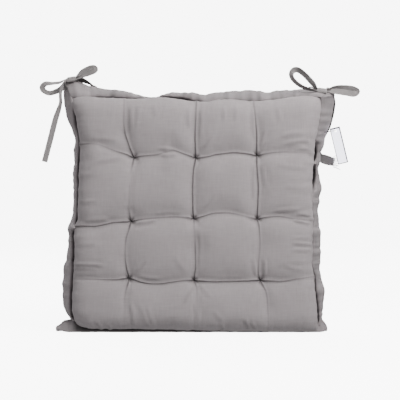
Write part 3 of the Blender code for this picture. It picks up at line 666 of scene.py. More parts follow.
def line_distances(x, z):
    """For each row and column line: how far every point is from it, and the line's depth there."""
    found = []
    for curve in ROW_CURVES:
        height, depth = row_at(curve, x)
        found.append((np.abs(z - height), depth))
    for curve in COLUMN_CURVES:
        place, depth = column_at(curve, z)
        found.append((np.abs(x - place), depth))
    return found


def broad_quilting(x, z, strength):
    """How far the tufts and their lines pull the cover in, in mm, before it is filled out."""
    pulled = np.zeros(x.shape)
    for away, depth in line_distances(x, z):
        valley = VALLEY_DEPTH * (0.35 + 0.65 * depth / DEEPEST_LINE) * np.minimum(depth / 3, 1)
        valley *= np.exp(-((away / VALLEY_WIDTH) ** 1.3))
        pulled = np.sqrt(pulled**2 + (strength * valley) ** 2)
    for tuft_x, tuft_z in TUFT_SPOTS:
        away = np.hypot(x - tuft_x, z - tuft_z)
        pulled = np.maximum(pulled, TUFT_DEPTH * np.exp(-((away / TUFT_SPREAD) ** 0.95)))
    return pulled


def make_bag():
    """Front and back as two grids of points: outer shape, ready to be filled out."""
    x, z, rise = body_grid()
    sides = []
    for side, strength in ((FRONT, 1.0), (BACK, 0.75)):
        height = SEAM_HALF + (CROWN - SEAM_HALF) * rise
        pulled = broad_quilting(x, z, strength) * np.minimum(rise * 1.15, 1)
        height = np.maximum(height - pulled, 0.7 + 4.3 * rise)
        sides.append(np.stack([x, side * height, z], axis=-1))
    return sides


def grid_faces(rows, columns, start=0, flip=False):
    faces = []
    for j in range(rows - 1):
        for i in range(columns - 1):
            first = start + j * columns + i
            corners = (first, first + 1, first + columns + 1, first + columns)
            faces.append(tuple(reversed(corners)) if flip else corners)
    return faces


def grid_rim(rows, columns):
    """The indices round the outside of a grid, in order."""
    rim = list(range(columns))
    rim += [j * columns + columns - 1 for j in range(1, rows)]
    rim += [(rows - 1) * columns + i for i in range(columns - 2, -1, -1)]
    rim += [j * columns for j in range(rows - 2, 0, -1)]
    return rim


def closed_bag(front, back):
    """Two grids sewn together round their rims."""
    rows, columns = front.shape[:2]
    size = rows * columns
    points = np.concatenate([front.reshape(-1, 3), back.reshape(-1, 3)])
    faces = grid_faces(rows, columns) + grid_faces(rows, columns, size, flip=True)
    rim = grid_rim(rows, columns)
    faces += [(b, a, a + size, b + size) for a, b in zip(rim, rim[1:] + rim[:1])]
    return points, faces, rim


def fill_out(points, faces, held, frames=16):
    """Cloth simulation: the bag is pressed outwards while the seam and the tufts hold it."""
    mesh = bpy.data.meshes.new("bag")
    mesh.from_pydata(points * MM, [], faces)
    bag = bpy.data.objects.new("bag", mesh)
    bpy.context.scene.collection.objects.link(bag)
    group = bag.vertex_groups.new(name="held")
    for index in np.nonzero(held > 0.02)[0]:
        group.add([int(index)], float(held[index]), "REPLACE")
    cloth = bag.modifiers.new("cloth", "CLOTH")
    settings = cloth.settings
    settings.quality = 6
    settings.mass = 0.3
    settings.tension_stiffness = 18
    settings.compression_stiffness = 10
    settings.shear_stiffness = 6
    settings.bending_stiffness = 0.4
    settings.tension_damping = 12
    settings.compression_damping = 12
    settings.shear_damping = 12
    settings.air_damping = 3
    settings.vertex_group_mass = "held"
    settings.pin_stiffness = 1
    settings.use_pressure = True
    settings.uniform_pressure_force = 6
    settings.shrink_min = -0.02
    settings.effector_weights.gravity = 0
    cloth.collision_settings.use_collision = False
    cloth.point_cache.frame_start = 1
    cloth.point_cache.frame_end = frames
    scene = bpy.context.scene
    for frame_number in range(1, frames + 1):
        scene.frame_set(frame_number)
    shaped = bag.evaluated_get(bpy.context.evaluated_depsgraph_get())
    moved = np.empty(len(points) * 3)
    shaped.data.vertices.foreach_get("co", moved)
    moved = moved.reshape(-1, 3) / MM
    bpy.data.objects.remove(bag)
    scene.frame_set(1)
    return moved


def even_out(start, moved, passes=14, kept=0.12, most=9.0):
    """The filled-out panel with its small kinks averaged away: only a share of them is kept."""
    move = moved - start
    smooth = move
    for _ in range(passes):
        framed = np.pad(smooth, ((1, 1), (1, 1), (0, 0)), mode="edge")
        beside = framed[1:-1, :-2] + framed[1:-1, 2:] + framed[:-2, 1:-1] + framed[2:, 1:-1]
        smooth = 0.5 * smooth + 0.125 * beside
    smooth = smooth + kept * (move - smooth)
    return start + np.clip(smooth, -most, most)


def refine(grid):
    """Twice as many rows and columns, the new points on smooth curves between the old ones."""
    for axis in (0, 1):
        grid = np.swapaxes(grid, 0, axis)
        ghosts = np.concatenate([2 * grid[:1] - grid[1:2], grid, 2 * grid[-1:] - grid[-2:-1]])
        middle = (9 * (ghosts[1:-2] + ghosts[2:-1]) - ghosts[:-3] - ghosts[3:]) / 16
        finer = np.empty((2 * len(grid) - 1, *grid.shape[1:]))
        finer[::2] = grid
        finer[1::2] = middle
        grid = np.swapaxes(finer, 0, axis)
    return grid


def restore_outline(grid, wanted, reach=22.0):
    """Bring the filled-out panel's widest and highest lines back to where the outline puts them."""
    grid = grid.copy()
    for axis, across in ((0, 1), (2, 0)):
        place = grid[..., axis]
        low, high = (edge(place, axis=across, keepdims=True) for edge in (np.min, np.max))
        low_gap = np.min(wanted[..., axis], axis=across, keepdims=True) - low
        high_gap = np.max(wanted[..., axis], axis=across, keepdims=True) - high
        low_pull = low_gap * np.exp((low - place) / reach)
        high_pull = high_gap * np.exp((place - high) / reach)
        grid[..., axis] = place + low_pull + high_pull
    return grid


def grid_normals(grid):
    along = np.gradient(grid, axis=1)
    upward = np.gradient(grid, axis=0)
    normal = np.cross(along, upward)
    return normal / np.maximum(np.linalg.norm(normal, axis=-1), 1e-9)[..., None]


def puckers(x, z, seed):
    """Short gathers of the cover where it is sewn to the seam, in mm."""
    edges = (
        (x - soft_at(LEFT_EDGE, z), z, 1.0),
        (soft_at(RIGHT_EDGE, z) - x, z, 1.0),
        (soft_at(TOP_EDGE, x) - z, x, 0.8),
        (z - soft_at(BOTTOM_EDGE, x), x, 0.8),
    )
    total = np.zeros(x.shape)
    samples = np.arange(-220, 380, 1.0)
    for number, (inward, run, strength) in enumerate(edges, seed):
        gathers = [
            0.45 * wave(place / 9, number) + 0.35 * wave(place / 4.5, number + 9) for place in samples
        ]
        ripple = np.interp(run, samples, gathers)
        near = np.exp(-np.maximum(inward - 4, 0) / 13) * np.minimum(inward / 4 + 0.6, 1)
        total += strength * ripple * near
    return total


def fine_folds(x, z, seed, strength, loose):
    """Sharp creases, wrinkles and gathers: how far each point is pushed in, and how much painted shade its
    colour gets.
    """
    pushed = np.zeros(x.shape)
    shade = np.zeros(x.shape)
    for away, depth in line_distances(x, z):
        pushed += strength * 0.3 * depth * np.exp(-((away / (CREASE_WIDTH * 1.8)) ** 1.3))
        # Painted shade along each crease, darkest where it is deepest.
        shade = np.maximum(shade, depth / DEEPEST_LINE * np.exp(-((away / CREASE_WIDTH) ** 2)))
    for tuft_x, tuft_z in TUFT_SPOTS:
        away = np.hypot(x - tuft_x, z - tuft_z)
        # Painted shade in the dimple round each tuft.
        shade = np.maximum(shade, 1.2 * np.exp(-((away / 3.4) ** 1.4)))
    for route, depth, width in loose:
        smooth = [tuple(point[:2]) for point in smooth_path([(*spot, 0) for spot in route], 5)]
        away, along = distance_to_route(x, z, smooth)
        fade = np.minimum(np.minimum(along, 1 - along) * 5 + 0.1, 1)
        pushed += depth * fade * np.exp(-((away / width) ** 2))
        pushed -= 0.35 * depth * fade * np.exp(-(((away - 2.2 * width) / (1.3 * width)) ** 2))
        # Painted shade along each wrinkle.
        shade = np.maximum(shade, 0.22 * depth * fade * np.exp(-((away / (0.8 * width)) ** 2)))
    return pushed - puckers(x, z, seed), shade * strength


def dress_side(name, node, flat, shaped, side, strength, loose, look):
    """One panel of the cover: the filled-out grid made finer, with its creases pressed in."""
    flat, grid = refine(flat), refine(shaped)
    x, z = flat[..., 0], flat[..., 2]
    pushed, shade = fine_folds(x, z, 3 + side, strength, loose)
    rise = np.minimum(np.abs(grid[..., 1]) / CREASES_FADE, 1)
    room = np.maximum(np.abs(grid[..., 1]) - LEAST_HALF, 0.3)
    pushed = np.where(pushed > 0, room * (1 - np.exp(-pushed / room)), pushed)
    grid = grid + grid_normals(grid) * (pushed * rise)[..., None]
    grid[..., 1] = side * np.maximum(side * grid[..., 1], 0.6)
    grid[..., 2] = np.maximum(grid[..., 2], 0.3)
    rows, columns = grid.shape[:2]
    cover = add_piece(name, grid.reshape(-1, 3), grid_faces(rows, columns, flip=side == BACK), look)
    # Painted shade: the cover darkened near its seam, where the body curls back in and shade falls.
    seam = SEAM_SHADES[side] * np.exp(-np.abs(grid[..., 1]) / 3.5)
    set_painted_shade(cover, np.maximum(shade, seam).reshape(-1))
    add_modifier(cover, "SOLIDIFY", thickness=CLOTH_THICKNESS * MM, offset=-1)
    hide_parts(node)


def make_body(look):
    front, back = make_bag()
    points, faces, rim = closed_bag(front, back)
    rows, columns = front.shape[:2]
    size = rows * columns
    held = np.zeros(len(points))
    for away, depth in line_distances(points[:, 0], points[:, 2]):
        held = np.maximum(held, np.minimum(depth / 7, 1) * (away < 0.8))
    tufts = np.array(TUFT_SPOTS)
    away = np.hypot(points[:, :1] - tufts[:, 0], points[:, 2:] - tufts[:, 1]).min(axis=1)
    held[away < 3.2] = 1
    held[rim] = 1
    held[np.array(rim) + size] = 1
    shaped = fill_out(points, faces, held)
    shaped_front = restore_outline(even_out(front, shaped[:size].reshape(rows, columns, 3)), front)
    shaped_back = restore_outline(even_out(back, shaped[size:].reshape(rows, columns, 3)), back)
    dress_side("front_cover", "front_panel", front, shaped_front, FRONT, 1.0, WRINKLES, look)
    dress_side("back_cover", "back_panel", back, shaped_back, BACK, 0.7, WRINKLES[::2], look)


# ---------------------------------------------------------------- the flange

# In mm: a strip's thickness, how far in from the body's edge it starts and at what y, the step between
# its sections, and the points across each; then the angles of the points round its fold.
FLANGE_THICKNESS = 2.3
FLANGE_STARTS_IN = 5.0
FLANGE_SEAM_Y = 0.4
FLANGE_STEP = 2.2
FLANGE_POINTS = 15
ROLL_TURNS = (60, 20, -20, -60)
# Where the gap is narrower than the first, the strip leans this far in and this far forward.
SOFT_BELOW = 0.9
SOFT_IN = 4.0
SOFT_FORWARD = 14.0
# The share of its front's shade that the back of a strip has.
BACK_SHADE = 0.05


def flange_section(start, end, crack):
    """Centre line across the flange: out of the seam, behind the body, then forward and out.

    Where hardly any gap shows, the flange leans forward against the body and runs on from its face.
    Given with it is the length of the part that the body hides.
    """
    out = end - start
    out_flat = np.array((out[0], 0, out[2]))
    out_flat /= np.linalg.norm(out_flat)
    edge = start + out_flat * FLANGE_STARTS_IN
    behind = edge + out_flat * (0.2 * crack)
    soft = max(1 - crack / SOFT_BELOW, 0)
    lip = edge + out_flat * (crack + 0.25 - SOFT_IN * soft)
    lip = lip + (end - lip) * 0.08 * (1 - soft)
    behind[1] = 3.0 + 0.5 * crack
    lip[1] = -8.0 + 0.9 * crack - SOFT_FORWARD * soft
    middle = (lip + end) / 2
    middle[1] = lip[1] + 0.3 * (end[1] - lip[1])
    return smooth_path([start, behind, lip, middle, end], 0.5), path_length(np.array([start, behind, lip]))


def flange_ring(line, out, up, place, seed):
    """The points round one section of a strip: one face, the rolled fold and the other face."""
    half = FLANGE_THICKNESS / 2
    ripple = 1.5 * wave(place / 11, seed) + 1.3 * wave(place / 5, seed + 3)
    one_face, other_face = [], []
    for i in range(FLANGE_POINTS):
        share = i / (FLANGE_POINTS - 1)
        lift = ripple * math.sin(math.pi * min(share * 0.85, 1)) + 0.5 * wave(place / 24, seed + 5 + share)
        swell = half * (0.7 + 0.35 * math.sin(math.pi * share))
        one_face.append(line[i] + up[i] * (lift * share + swell))
        other_face.append(line[i] + up[i] * (lift * share - swell))
    fold = line[-1] + up[-1] * lift
    roll = []
    for turn in ROLL_TURNS:
        angle = math.radians(turn)
        roll.append(fold + out[-1] * half * math.cos(angle) * 1.1 + up[-1] * half * math.sin(angle))
    return one_face + roll + other_face[::-1]


def flange_shades(lengths, hidden, crack_shade, crack, patchy_painted_shade):
    """Painted shade on a strip from seam to fold: dark on its part hidden in a gap, and in uneven patches.
    """
    dark = crack_shade * min(crack / 1.2, 1)
    return [
        max(dark * math.exp(-((length / hidden) ** 10)), patchy_painted_shade * (1 - 0.6 * i / FLANGE_POINTS))
        for i, length in enumerate(lengths)
    ]


def finish_strip(name, node, rings, painted_shades, look):
    """Join a strip's rings into a piece of cloth."""
    points = [point for ring in rings for point in ring]
    piece = add_piece(name, points, strip_faces(len(rings), len(rings[0])), look)
    set_painted_shade(piece, np.array(painted_shades).reshape(-1))
    add_modifier(piece, "SUBSURF", levels=1, render_levels=1)
    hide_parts(node)


def make_flange(name, node, stations, crack_shade, base_painted_shade, look, seed):
    """A doubled strip of cloth: two layers joined in a soft rolled fold at the outer edge."""
    samples = smooth_path([(*inner, *outer, crack) for inner, outer, crack in stations], FLANGE_STEP)
    inner, outer, cracks = samples[:, :3], samples[:, 3:6], np.maximum(samples[:, 6], 0)
    outer[:, 0], outer[:, 2] = seen_at(outer[:, 0], outer[:, 1], outer[:, 2])
    middle = (inner + outer) / 2
    rings, painted_shades = [], []
    for k, (start, end, crack, along) in enumerate(zip(inner, outer, cracks, tangents(middle))):
        section, hidden = flange_section(start, end, crack)
        steps = np.concatenate([[0], np.cumsum(np.linalg.norm(np.diff(section, axis=0), axis=1))])
        lengths = np.linspace(0, steps[-1], FLANGE_POINTS)
        line = np.stack([np.interp(lengths, steps, section[:, i]) for i in range(3)], axis=1)
        out = np.gradient(line, axis=0)
        out /= np.linalg.norm(out, axis=1)[:, None]
        up = np.cross(out, along)
        up /= np.linalg.norm(up, axis=1)[:, None]
        place = k * FLANGE_STEP
        rings.append(flange_ring(line, out, up, place, seed))
        # Painted shade in uneven patches, heavier near the seam, from a base that is darker on the top and
        # right strips.
        patchy_painted_shade = base_painted_shade + 0.26 * wave(place / 13, seed + 12) + 0.16 * wave(place / 6, seed + 15)
        deep = flange_shades(lengths, hidden, crack_shade, crack, patchy_painted_shade)
        # The face towards the front gets the painted shade, the back only a faint share of it.
        faint = [BACK_SHADE * value for value in deep]
        first, last = (deep, faint) if np.mean(up[:, 1]) < 0 else (faint, deep)
        painted_shades.append(first + [0] * len(ROLL_TURNS) + last[::-1])
    finish_strip(name, node, rings, painted_shades, look)


def side_stations(table, edge, inward):
    """A side strip's start at the seam, its folded edge and its gap, at each height in its table."""
    return [
        ((soft_at(edge, z) + inward, FLANGE_SEAM_Y, z), (x, y, fold_z), crack)
        for z, fold_z, x, y, crack in table
    ]


def make_flanges(look):
    left = side_stations(FLANGE_LEFT, LEFT_EDGE, FLANGE_STARTS_IN)
    right = side_stations(FLANGE_RIGHT, RIGHT_EDGE, -FLANGE_STARTS_IN)
    top = [
        ((x, FLANGE_SEAM_Y, soft_at(TOP_EDGE, x) - FLANGE_STARTS_IN), (fold_x, y, z), crack)
        for x, fold_x, z, y, crack in FLANGE_TOP
    ]
    # After the stations: the strength of the painted shade in a gap, and the base of the patchy painted
    # shade.
    make_flange("flange_left_cloth", "flange_left", left, 0.3, -0.05, look, 1)
    make_flange("flange_right_cloth", "flange_right", right, 1.0, 0.5, look, 2)
    make_flange("flange_top_cloth", "flange_top", top, 0.35, 0.5, look, 3)
    make_under_flange("flange_bottom_cloth", "flange_bottom", look, 4)


def make_under_flange(name, node, look, seed):
    """The lowest flange: down from the seam, folded at the front, then flat under the pad to the back."""
    columns = np.arange(UNDER_FRONT[0][0], UNDER_FRONT[-1][0] + 0.1, UNDER_STEP)
    rings, painted_shades = [], []
    for x in columns:
        far = at(UNDER_REACH, x) + 0.8 * wave(x / 15, seed)
        crown = at(UNDER_FRONT, x) * (1 + 0.08 * wave(x / 6, seed + 8))
        past_body = min(max((abs(x + 2) - 172) / 8, 0), 1)
        body_seam = soft_at(BOTTOM_EDGE, x) + FLANGE_STARTS_IN
        seam = (1 - past_body) * body_seam + past_body * (crown + 0.4)
        fold = -8.5 + 1.3 * wave(x / 14, seed + 4) + 0.5 * wave(x / 5, seed + 6)
        foot = at(UNDER_FOOT, x)
        front = [(-0.7, seam), (-2.4, (seam + crown) / 2), (fold + 1.2, crown), (fold, (crown + foot) / 2)]
        front += [(fold + 0.2, foot + 0.25), (fold + 0.8, foot)]
        under = [
            (fold + (far - fold) * share, UNDER_SOLE + (foot - UNDER_SOLE) * (1 - share))
            for share in (0.25, 0.5, 0.75)
        ]
        end = [(far, UNDER_SOLE), (far + 0.9, 1.2), (far, UNDER_UPPER)]
        above = [
            (far * share + 2.5, UNDER_UPPER + 0.3 * wave(x / 7, seed + share)) for share in (0.7, 0.4, 0.1)
        ]
        section = front + under + end + above + [(1.4, min(4.0, seam - 1)), (0.7, seam)]
        rings.append([(x, y, z) for y, z in section])
        # Painted shade on the flange's front under the body, where shade falls, and a little on its back.
        dark = 1 - past_body
        front_shades = [1, 1, 0.5 + 0.5 * dark, 0.9 * dark, 0.6 * dark, 0.6 * dark]
        back_shades = [0.2, 0.4 * dark]
        hidden = len(section) - len(front_shades) - len(back_shades)
        painted_shades.append(front_shades + [0] * hidden + back_shades)
    finish_strip(name, node, rings, painted_shades, look)


# ---------------------------------------------------------------- filling and tufts


def make_filling(look):
    """The wadding inside: a plump block smaller than the cover."""
    sides = []
    for side, grid in zip((FRONT, BACK), make_bag()):
        inside = grid[8:-8:3, 8:-8:3].copy()
        inside[..., 1] = side * np.maximum(np.abs(inside[..., 1]) - 7, 1.5)
        sides.append(inside)
    points, faces, _ = closed_bag(*sides)
    filling = add_piece("filling_wadding", points, faces, look)
    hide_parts("filling_pad")


def thread_tube(points, radius, sides=8, closed=False):
    """Points and faces of a round thread along a path."""
    rings = []
    for point, tangent in zip(points, tangents(points, closed)):
        guide = np.array((0.0, 0.0, 1.0)) if abs(tangent[2]) < 0.9 else np.array((1.0, 0.0, 0.0))
        side = np.cross(tangent, guide)
        side /= np.linalg.norm(side)
        up = np.cross(side, tangent)
        for step in range(sides):
            angle = math.tau * step / sides
            rings.append(point + radius * (side * math.cos(angle) + up * math.sin(angle)))
    return rings, strip_faces(len(points), sides, closed_along=closed)


def make_tuft(name, x, z, tilt, look):
    """One loop of thread through the pad, pulled tight, with a short stitch showing on each side."""
    step_x, step_z = STITCH_REACH * math.cos(tilt), STITCH_REACH * math.sin(tilt)
    quarter = [(-1, -2.6), (-0.8, -4.6), (0, -5.0), (0.8, -4.6), (1, -2.6)]
    loop = [(x + share * step_x, y, z + share * step_z) for share, y in quarter]
    loop += [(x + share * step_x, -y, z + share * step_z) for share, y in reversed(quarter)]
    points, faces = thread_tube(smooth_path(loop, 1.0, closed=True), STITCH_RADIUS, closed=True)
    return add_piece(name, points, faces, look)


def make_tufts(look):
    for row, line in enumerate(TUFTS):
        for column, (x, z) in enumerate(line):
            node = f"tuft_stitch_{row + 1}_{column + 1}"
            tilt = 0.5 + 0.9 * ((row * 3 + column) % 4)
            tuft = make_tuft(node + "_thread", x, z, tilt, look)
            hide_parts(node)


# ---------------------------------------------------------------- ties and bows


def width_direction(tangent, turn):
    """The way a tape's width lies: on edge to the front at 0 degrees, flat to it at 90."""
    flat = np.cross(tangent, (0.0, 1.0, 0.0))
    flat /= np.linalg.norm(flat)
    deep = np.cross(flat, tangent)
    return math.cos(math.radians(turn)) * deep + math.sin(math.radians(turn)) * flat


def make_tape(name, node, rows, knot, look, seed, splay=0.0):
    """A woven tape with rounded selvedges, gathered where the knot grips it."""
    samples = smooth_path(rows, TAPE_STEP)
    points, turns, shades = samples[:, :3], samples[:, 3], samples[:, 4]
    rings, painted_shades = [], []
    profile = TAPE_PROFILE + [(-share, -rise) for share, rise in TAPE_PROFILE]
    for k, (point, tangent, turn, shade) in enumerate(zip(points, tangents(points), turns, shades)):
        across = width_direction(tangent, turn)
        normal = np.cross(tangent, across)
        beyond = np.linalg.norm(point - np.array(knot)) - KNOT_GRIP
        away = min(max(beyond / KNOT_REACH, 0), 1)
        away = away * away * (3 - 2 * away)
        share = KNOT_WIDTH_SHARE + (1 - KNOT_WIDTH_SHARE) * away
        to_end = (len(points) - 1 - k) * TAPE_STEP
        share *= 1 + splay * math.exp(-(((to_end - 12) / 14) ** 2))
        half = TAPE_WIDTH * share / 2 * (1 + 0.03 * wave(k * 0.4, seed))
        cup = 0.7 * (1 - away) + 0.5 * wave(k * TAPE_STEP / 14, seed + 2)
        for place, rise in profile:
            arch = cup * (place * place - 0.4)
            rings.append(point + across * half * place + normal * (TAPE_THICKNESS / 2 * rise + arch))
            # Painted shade: darker in the middle where the knot gathers the tape, and where its rows give
            # shade.
            gathered = 0.35 * (1 - away) * (abs(place) < 0.5)
            painted_shades.append(max(gathered, shade * (1 - 0.3 * abs(place) ** 4)))
    piece = add_piece(name, rings, strip_faces(len(points), len(profile)), look)
    set_painted_shade(piece, painted_shades)
    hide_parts(node)
    return piece, points


def make_knot(name, node, centre, look, lean=1):
    """The middle of a bow: one turn of tape, creased and narrower at its waist."""
    around = 48
    rings = []
    for step in range(around):
        angle = math.tau * step / around
        y, z = KNOT_DEPTH * math.cos(angle), KNOT_HEIGHT * math.sin(angle)
        flat = 1 / (abs(math.cos(angle)) ** 3 + abs(math.sin(angle)) ** 3) ** (1 / 3)
        y, z = y * flat, z * flat
        out = Vector((0, y / KNOT_DEPTH, z / KNOT_HEIGHT)).normalized()
        fold = 0.3 * wave(step * 0.5, centre[0])
        slant = 0.6 * math.sin(angle)
        for x, lift in KNOT_PROFILE:
            narrow = 0.85 + 0.12 * math.cos(2 * angle)
            height = lift + fold * (lift > 0.5)
            along = x * narrow * KNOT_SPREAD
            rings.append((
                centre[0] + along + slant,
                centre[1] + y + out.y * height,
                centre[2] + z + out.z * height + KNOT_CLIMB * along * lean,
            ))
    piece = add_piece(name, rings, strip_faces(around, len(KNOT_PROFILE), closed_along=True), look)
    add_modifier(piece, "SUBSURF", levels=1, render_levels=1)
    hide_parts(node)
    return piece


def make_fray(name, look):
    """Loose warp threads at the raw end of the right-hand tail."""
    end = np.array(RIGHT_TIE_FRONT[-1][:3])
    points, faces = [], []
    for number in range(FRAY_THREADS):
        share = number / (FRAY_THREADS - 1) * 2 - 1
        root = end + np.array((-2.0, 0.2 * (number % 3 - 1), FRAY_SPREAD * share))
        length = 6.0 + 3.5 * wave(number * 0.9, 5)
        swing = 2.6 * share + 1.6 * wave(number * 1.3, 8)
        steps = [
            (0, 0, 0),
            (0.45 * length, 0, 0.3 * swing),
            (0.8 * length, 0.5 * wave(number, 3), 0.7 * swing),
            (length + 1, 0.8 * wave(number, 6), swing),
        ]
        tube, quads = thread_tube(smooth_path([root + step for step in steps], 0.8), FRAY_RADIUS, sides=6)
        faces += [tuple(corner + len(points) for corner in quad) for quad in quads]
        points += tube
    fray = add_piece(name, points, faces, look)
    return fray


def make_ties(look, fray_look):
    ties = [
        ("left_front_tie", "left_tie_front", LEFT_TIE_FRONT, LEFT_KNOT, 0.0),
        ("left_back_tie", "left_tie_back", LEFT_TIE_BACK, LEFT_KNOT, 0.0),
        ("right_front_tie", "right_tie_front", RIGHT_TIE_FRONT, RIGHT_KNOT, 0.68),
        ("right_back_tie", "right_tie_back", RIGHT_TIE_BACK, RIGHT_KNOT, 0.0),
    ]
    left_knot = make_knot("left_knot_turn", "left_bow_knot", LEFT_KNOT, look)
    right_knot = make_knot("right_knot_turn", "right_bow_knot", RIGHT_KNOT, look, lean=-1)
    fray = make_fray("right_tie_fray", fray_look)
    for seed, (name, node, rows, knot, splay) in enumerate(ties):
        piece, points = make_tape(name, node, rows, knot, look, seed + 11, splay)


# ---------------------------------------------------------------- the tag


def tag_outline():
    """The card's outline with rounded corners, and its hole, as (x, z) about the hole."""
    width, _, length = TAG_SIZE
    right = width / 2 - TAG_CORNER
    top, foot = TAG_ABOVE_HOLE - TAG_CORNER, TAG_ABOVE_HOLE - length + TAG_CORNER
    outline = []
    for x, z, first in ((right, top, 0), (-right, top, 90), (-right, foot, 180), (right, foot, 270)):
        for step in (0, 30, 60, 90):
            angle = math.radians(first + step)
            outline.append((x + TAG_CORNER * math.cos(angle), z + TAG_CORNER * math.sin(angle)))
    angles = [math.tau * k / 24 for k in range(24)]
    hole = [(TAG_HOLE * math.cos(angle), TAG_HOLE * math.sin(angle)) for angle in angles]
    return outline, hole


def inset(outline, margins):
    """A loop drawn in from the card's left, right, lower and upper edge by the four margins."""
    width, _, length = TAG_SIZE
    left, right, foot, top = margins
    share_x, share_z = 1 - (left + right) / width, 1 - (foot + top) / length
    middle_z = TAG_ABOVE_HOLE - length / 2
    return [
        (x * share_x + (left - right) / 2, middle_z + (z - middle_z) * share_z + (foot - top) / 2)
        for x, z in outline
    ]


def make_card(name, loops, front, thick, look):
    """A flat sheet with the given edge loops, curled a little along its length."""
    length = TAG_SIZE[2]
    levels = 12
    turn = Matrix.Rotation(TAG_TILT, 3, "Y")
    work = bmesh.new()
    edges = []
    for loop in loops:
        corners = [work.verts.new((x, front, z)) for x, z in loop]
        edges += [work.edges.new((a, b)) for a, b in zip(corners, corners[1:] + corners[:1])]
    bmesh.ops.triangle_fill(work, edges=edges, use_beauty=True, use_dissolve=False, normal=(0, -1, 0))
    for level in range(1, levels):
        plane = (0, 0, TAG_ABOVE_HOLE - length * level / levels)
        everything = work.verts[:] + work.edges[:] + work.faces[:]
        bmesh.ops.bisect_plane(work, geom=everything, plane_co=plane, plane_no=(0, 0, 1))
    made = bmesh.ops.extrude_face_region(work, geom=work.faces[:])
    for item in made["geom"]:
        if isinstance(item, bmesh.types.BMVert):
            item.co.y += thick
    work.verts.index_update()
    points = []
    for corner_point in work.verts:
        place = corner_point.co.copy()
        place.y += 1.2 * ((place.z / length) ** 2)
        points.append(Vector(TAG_PIVOT) + turn @ place)
    faces = [tuple(vert.index for vert in face.verts) for face in work.faces]
    work.free()
    card = add_piece(name, points, faces, look, body="tag", smooth=False)
    return card


def make_tag(look, edge_shade_look):
    """A blank card with rounded corners and a round hole, and a narrow grey band of painted shade round the
    edges of its front.
    """
    thick = TAG_SIZE[1]
    outline, hole = tag_outline()
    card = make_card("blank_hang_tag", [outline, hole], -thick / 2, thick, look)
    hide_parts("hang_tag")
    # Painted shade: a dark band round the card's front stands for the shade along its thick edges.
    band = [outline, inset(outline, TAG_EDGE_SHADE_WIDTHS)]
    make_card("hang_tag_painted_edge_shade", band, -thick / 2 - 0.06, 0.05, edge_shade_look)


def make_tag_thread(look):
    path = smooth_path(TAG_THREAD, 0.8, closed=True)
    points, faces = thread_tube(path, TAG_THREAD_RADIUS, closed=True)
    thread = add_piece("tag_thread_loop", points, faces, look)
    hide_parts("tag_thread")


# ---------------------------------------------------------------- studio

# In metres.
STAGE_RADIUS = 6.0
LAMPS_AIM = Vector((0, 0, 0.18))


def make_stage(look):
    """A pale floor and a dome round it, bright enough to read as white from every side."""
    work = bmesh.new()
    bmesh.ops.create_uvsphere(work, u_segments=48, v_segments=24, radius=STAGE_RADIUS)
    below = [vert for vert in work.verts if vert.co.z < -0.01]
    bmesh.ops.delete(work, geom=below, context="VERTS")
    rim = [edge for edge in work.edges if edge.is_boundary]
    bmesh.ops.contextual_create(work, geom=rim)
    mesh = bpy.data.meshes.new("backdrop")
    work.to_mesh(mesh)
    work.free()
    mesh.materials.append(look)
    backdrop = bpy.data.objects.new("backdrop", mesh)
    backdrop.location.z = -0.0002
    backdrop.visible_diffuse = False
    backdrop.visible_glossy = False
    backdrop.visible_shadow = False
    bpy.context.scene.collection.objects.link(backdrop)


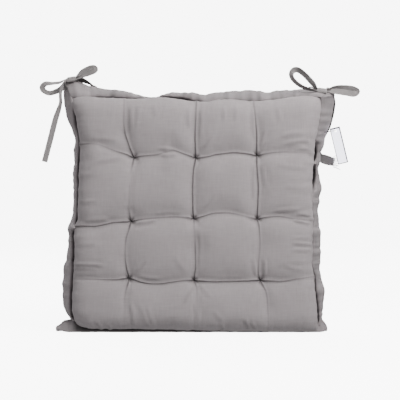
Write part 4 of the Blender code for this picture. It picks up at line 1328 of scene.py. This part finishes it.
def make_lights():
    """Soft light from all round, and lamps as (name, place in metres, size, watts, colour)."""
    lights = [
        ("key", (0.62, -0.8, 0.98), 0.6, 12.9, (1.0, 0.985, 0.975)),
        ("near", (0.36, -0.4, 0.82), 0.6, 3.2, (1.0, 0.985, 0.975)),
        ("side", (-0.6, -0.3, 0.2), 0.4, 0.35, (1.0, 0.995, 0.99)),
        ("back", (-0.6, 1.3, 1.5), 1.2, 26, (0.98, 0.99, 1.0)),
        ("low", (0.1, -0.12, -0.4), 0.5, 0.45, (1.0, 1.0, 1.0)),
    ]
    for name, place, size, power, color in lights:
        data = bpy.data.lights.new(name, "AREA")
        data.size = size
        data.energy = power
        data.color = color
        lamp = bpy.data.objects.new(name, data)
        lamp.location = place
        lamp.rotation_euler = (LAMPS_AIM - Vector(place)).to_track_quat("-Z", "Y").to_euler()
        bpy.context.scene.collection.objects.link(lamp)
    world = bpy.data.worlds.new("studio")
    world.use_nodes = True
    nodes, links = world.node_tree.nodes, world.node_tree.links
    heading = nodes.new("ShaderNodeTexCoord").outputs["Generated"]
    parts = nodes.new("ShaderNodeSeparateXYZ")
    links.new(heading, parts.inputs[0])
    rise = nodes.new("ShaderNodeMapRange")
    rise.inputs["From Min"].default_value = -1.0
    rise.inputs["From Max"].default_value = 1.0
    rise.inputs["To Min"].default_value = 0.27
    rise.inputs["To Max"].default_value = 0.49
    links.new(parts.outputs["Z"], rise.inputs["Value"])
    background = nodes["Background"]
    background.inputs["Color"].default_value = (0.98, 0.985, 1.0, 1)
    links.new(rise.outputs["Result"], background.inputs["Strength"])
    bpy.context.scene.world = world


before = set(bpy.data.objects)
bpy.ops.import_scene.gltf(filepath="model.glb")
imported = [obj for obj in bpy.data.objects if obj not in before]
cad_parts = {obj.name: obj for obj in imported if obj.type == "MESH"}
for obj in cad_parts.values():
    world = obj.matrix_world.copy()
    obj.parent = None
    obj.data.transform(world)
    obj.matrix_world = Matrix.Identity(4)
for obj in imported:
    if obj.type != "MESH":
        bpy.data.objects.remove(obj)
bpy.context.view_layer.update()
make_camera()
cover = woven_cotton("grey_cotton", (0.388, 0.352, 0.36), yarn_mm=0.55, slub=0.22)
tape = woven_cotton("grey_tape", (0.335, 0.314, 0.312), yarn_mm=0.7, slub=0.16)
raw_thread = woven_cotton("raw_thread", (0.72, 0.71, 0.7), yarn_mm=0.3, slub=0.2)
wadding = plain_material("white_wadding", (0.86, 0.85, 0.82), 1.0, grain=0.6, mottle=0.1)
tuft_thread = plain_material("tuft_thread", (0.1, 0.095, 0.095), 0.9, grain=0.3, mottle=0.1)
# The card glows of itself: painted light, so it reads whiter than the lamps make it.
card = plain_material("blank_card_painted_glow", (0.86, 0.86, 0.98), 0.6, grain=0.05, glow=3.0)
painted_edge_shade = plain_material("card_painted_edge_shade", (0.1, 0.1, 0.12), 0.6, grain=0.05)
string = plain_material("dark_thread", (0.03, 0.03, 0.03), 0.9, grain=0.3, mottle=0.2)
make_ties(tape, raw_thread)
make_body(cover)
make_flanges(cover)
make_filling(wadding)
make_tufts(tuft_thread)
make_tag(card, painted_edge_shade)
make_tag_thread(string)
make_stage(plain_material("studio_paper", (0.95, 0.95, 0.95), 1.0, glow=7.9, shine=0.0))
make_lights()
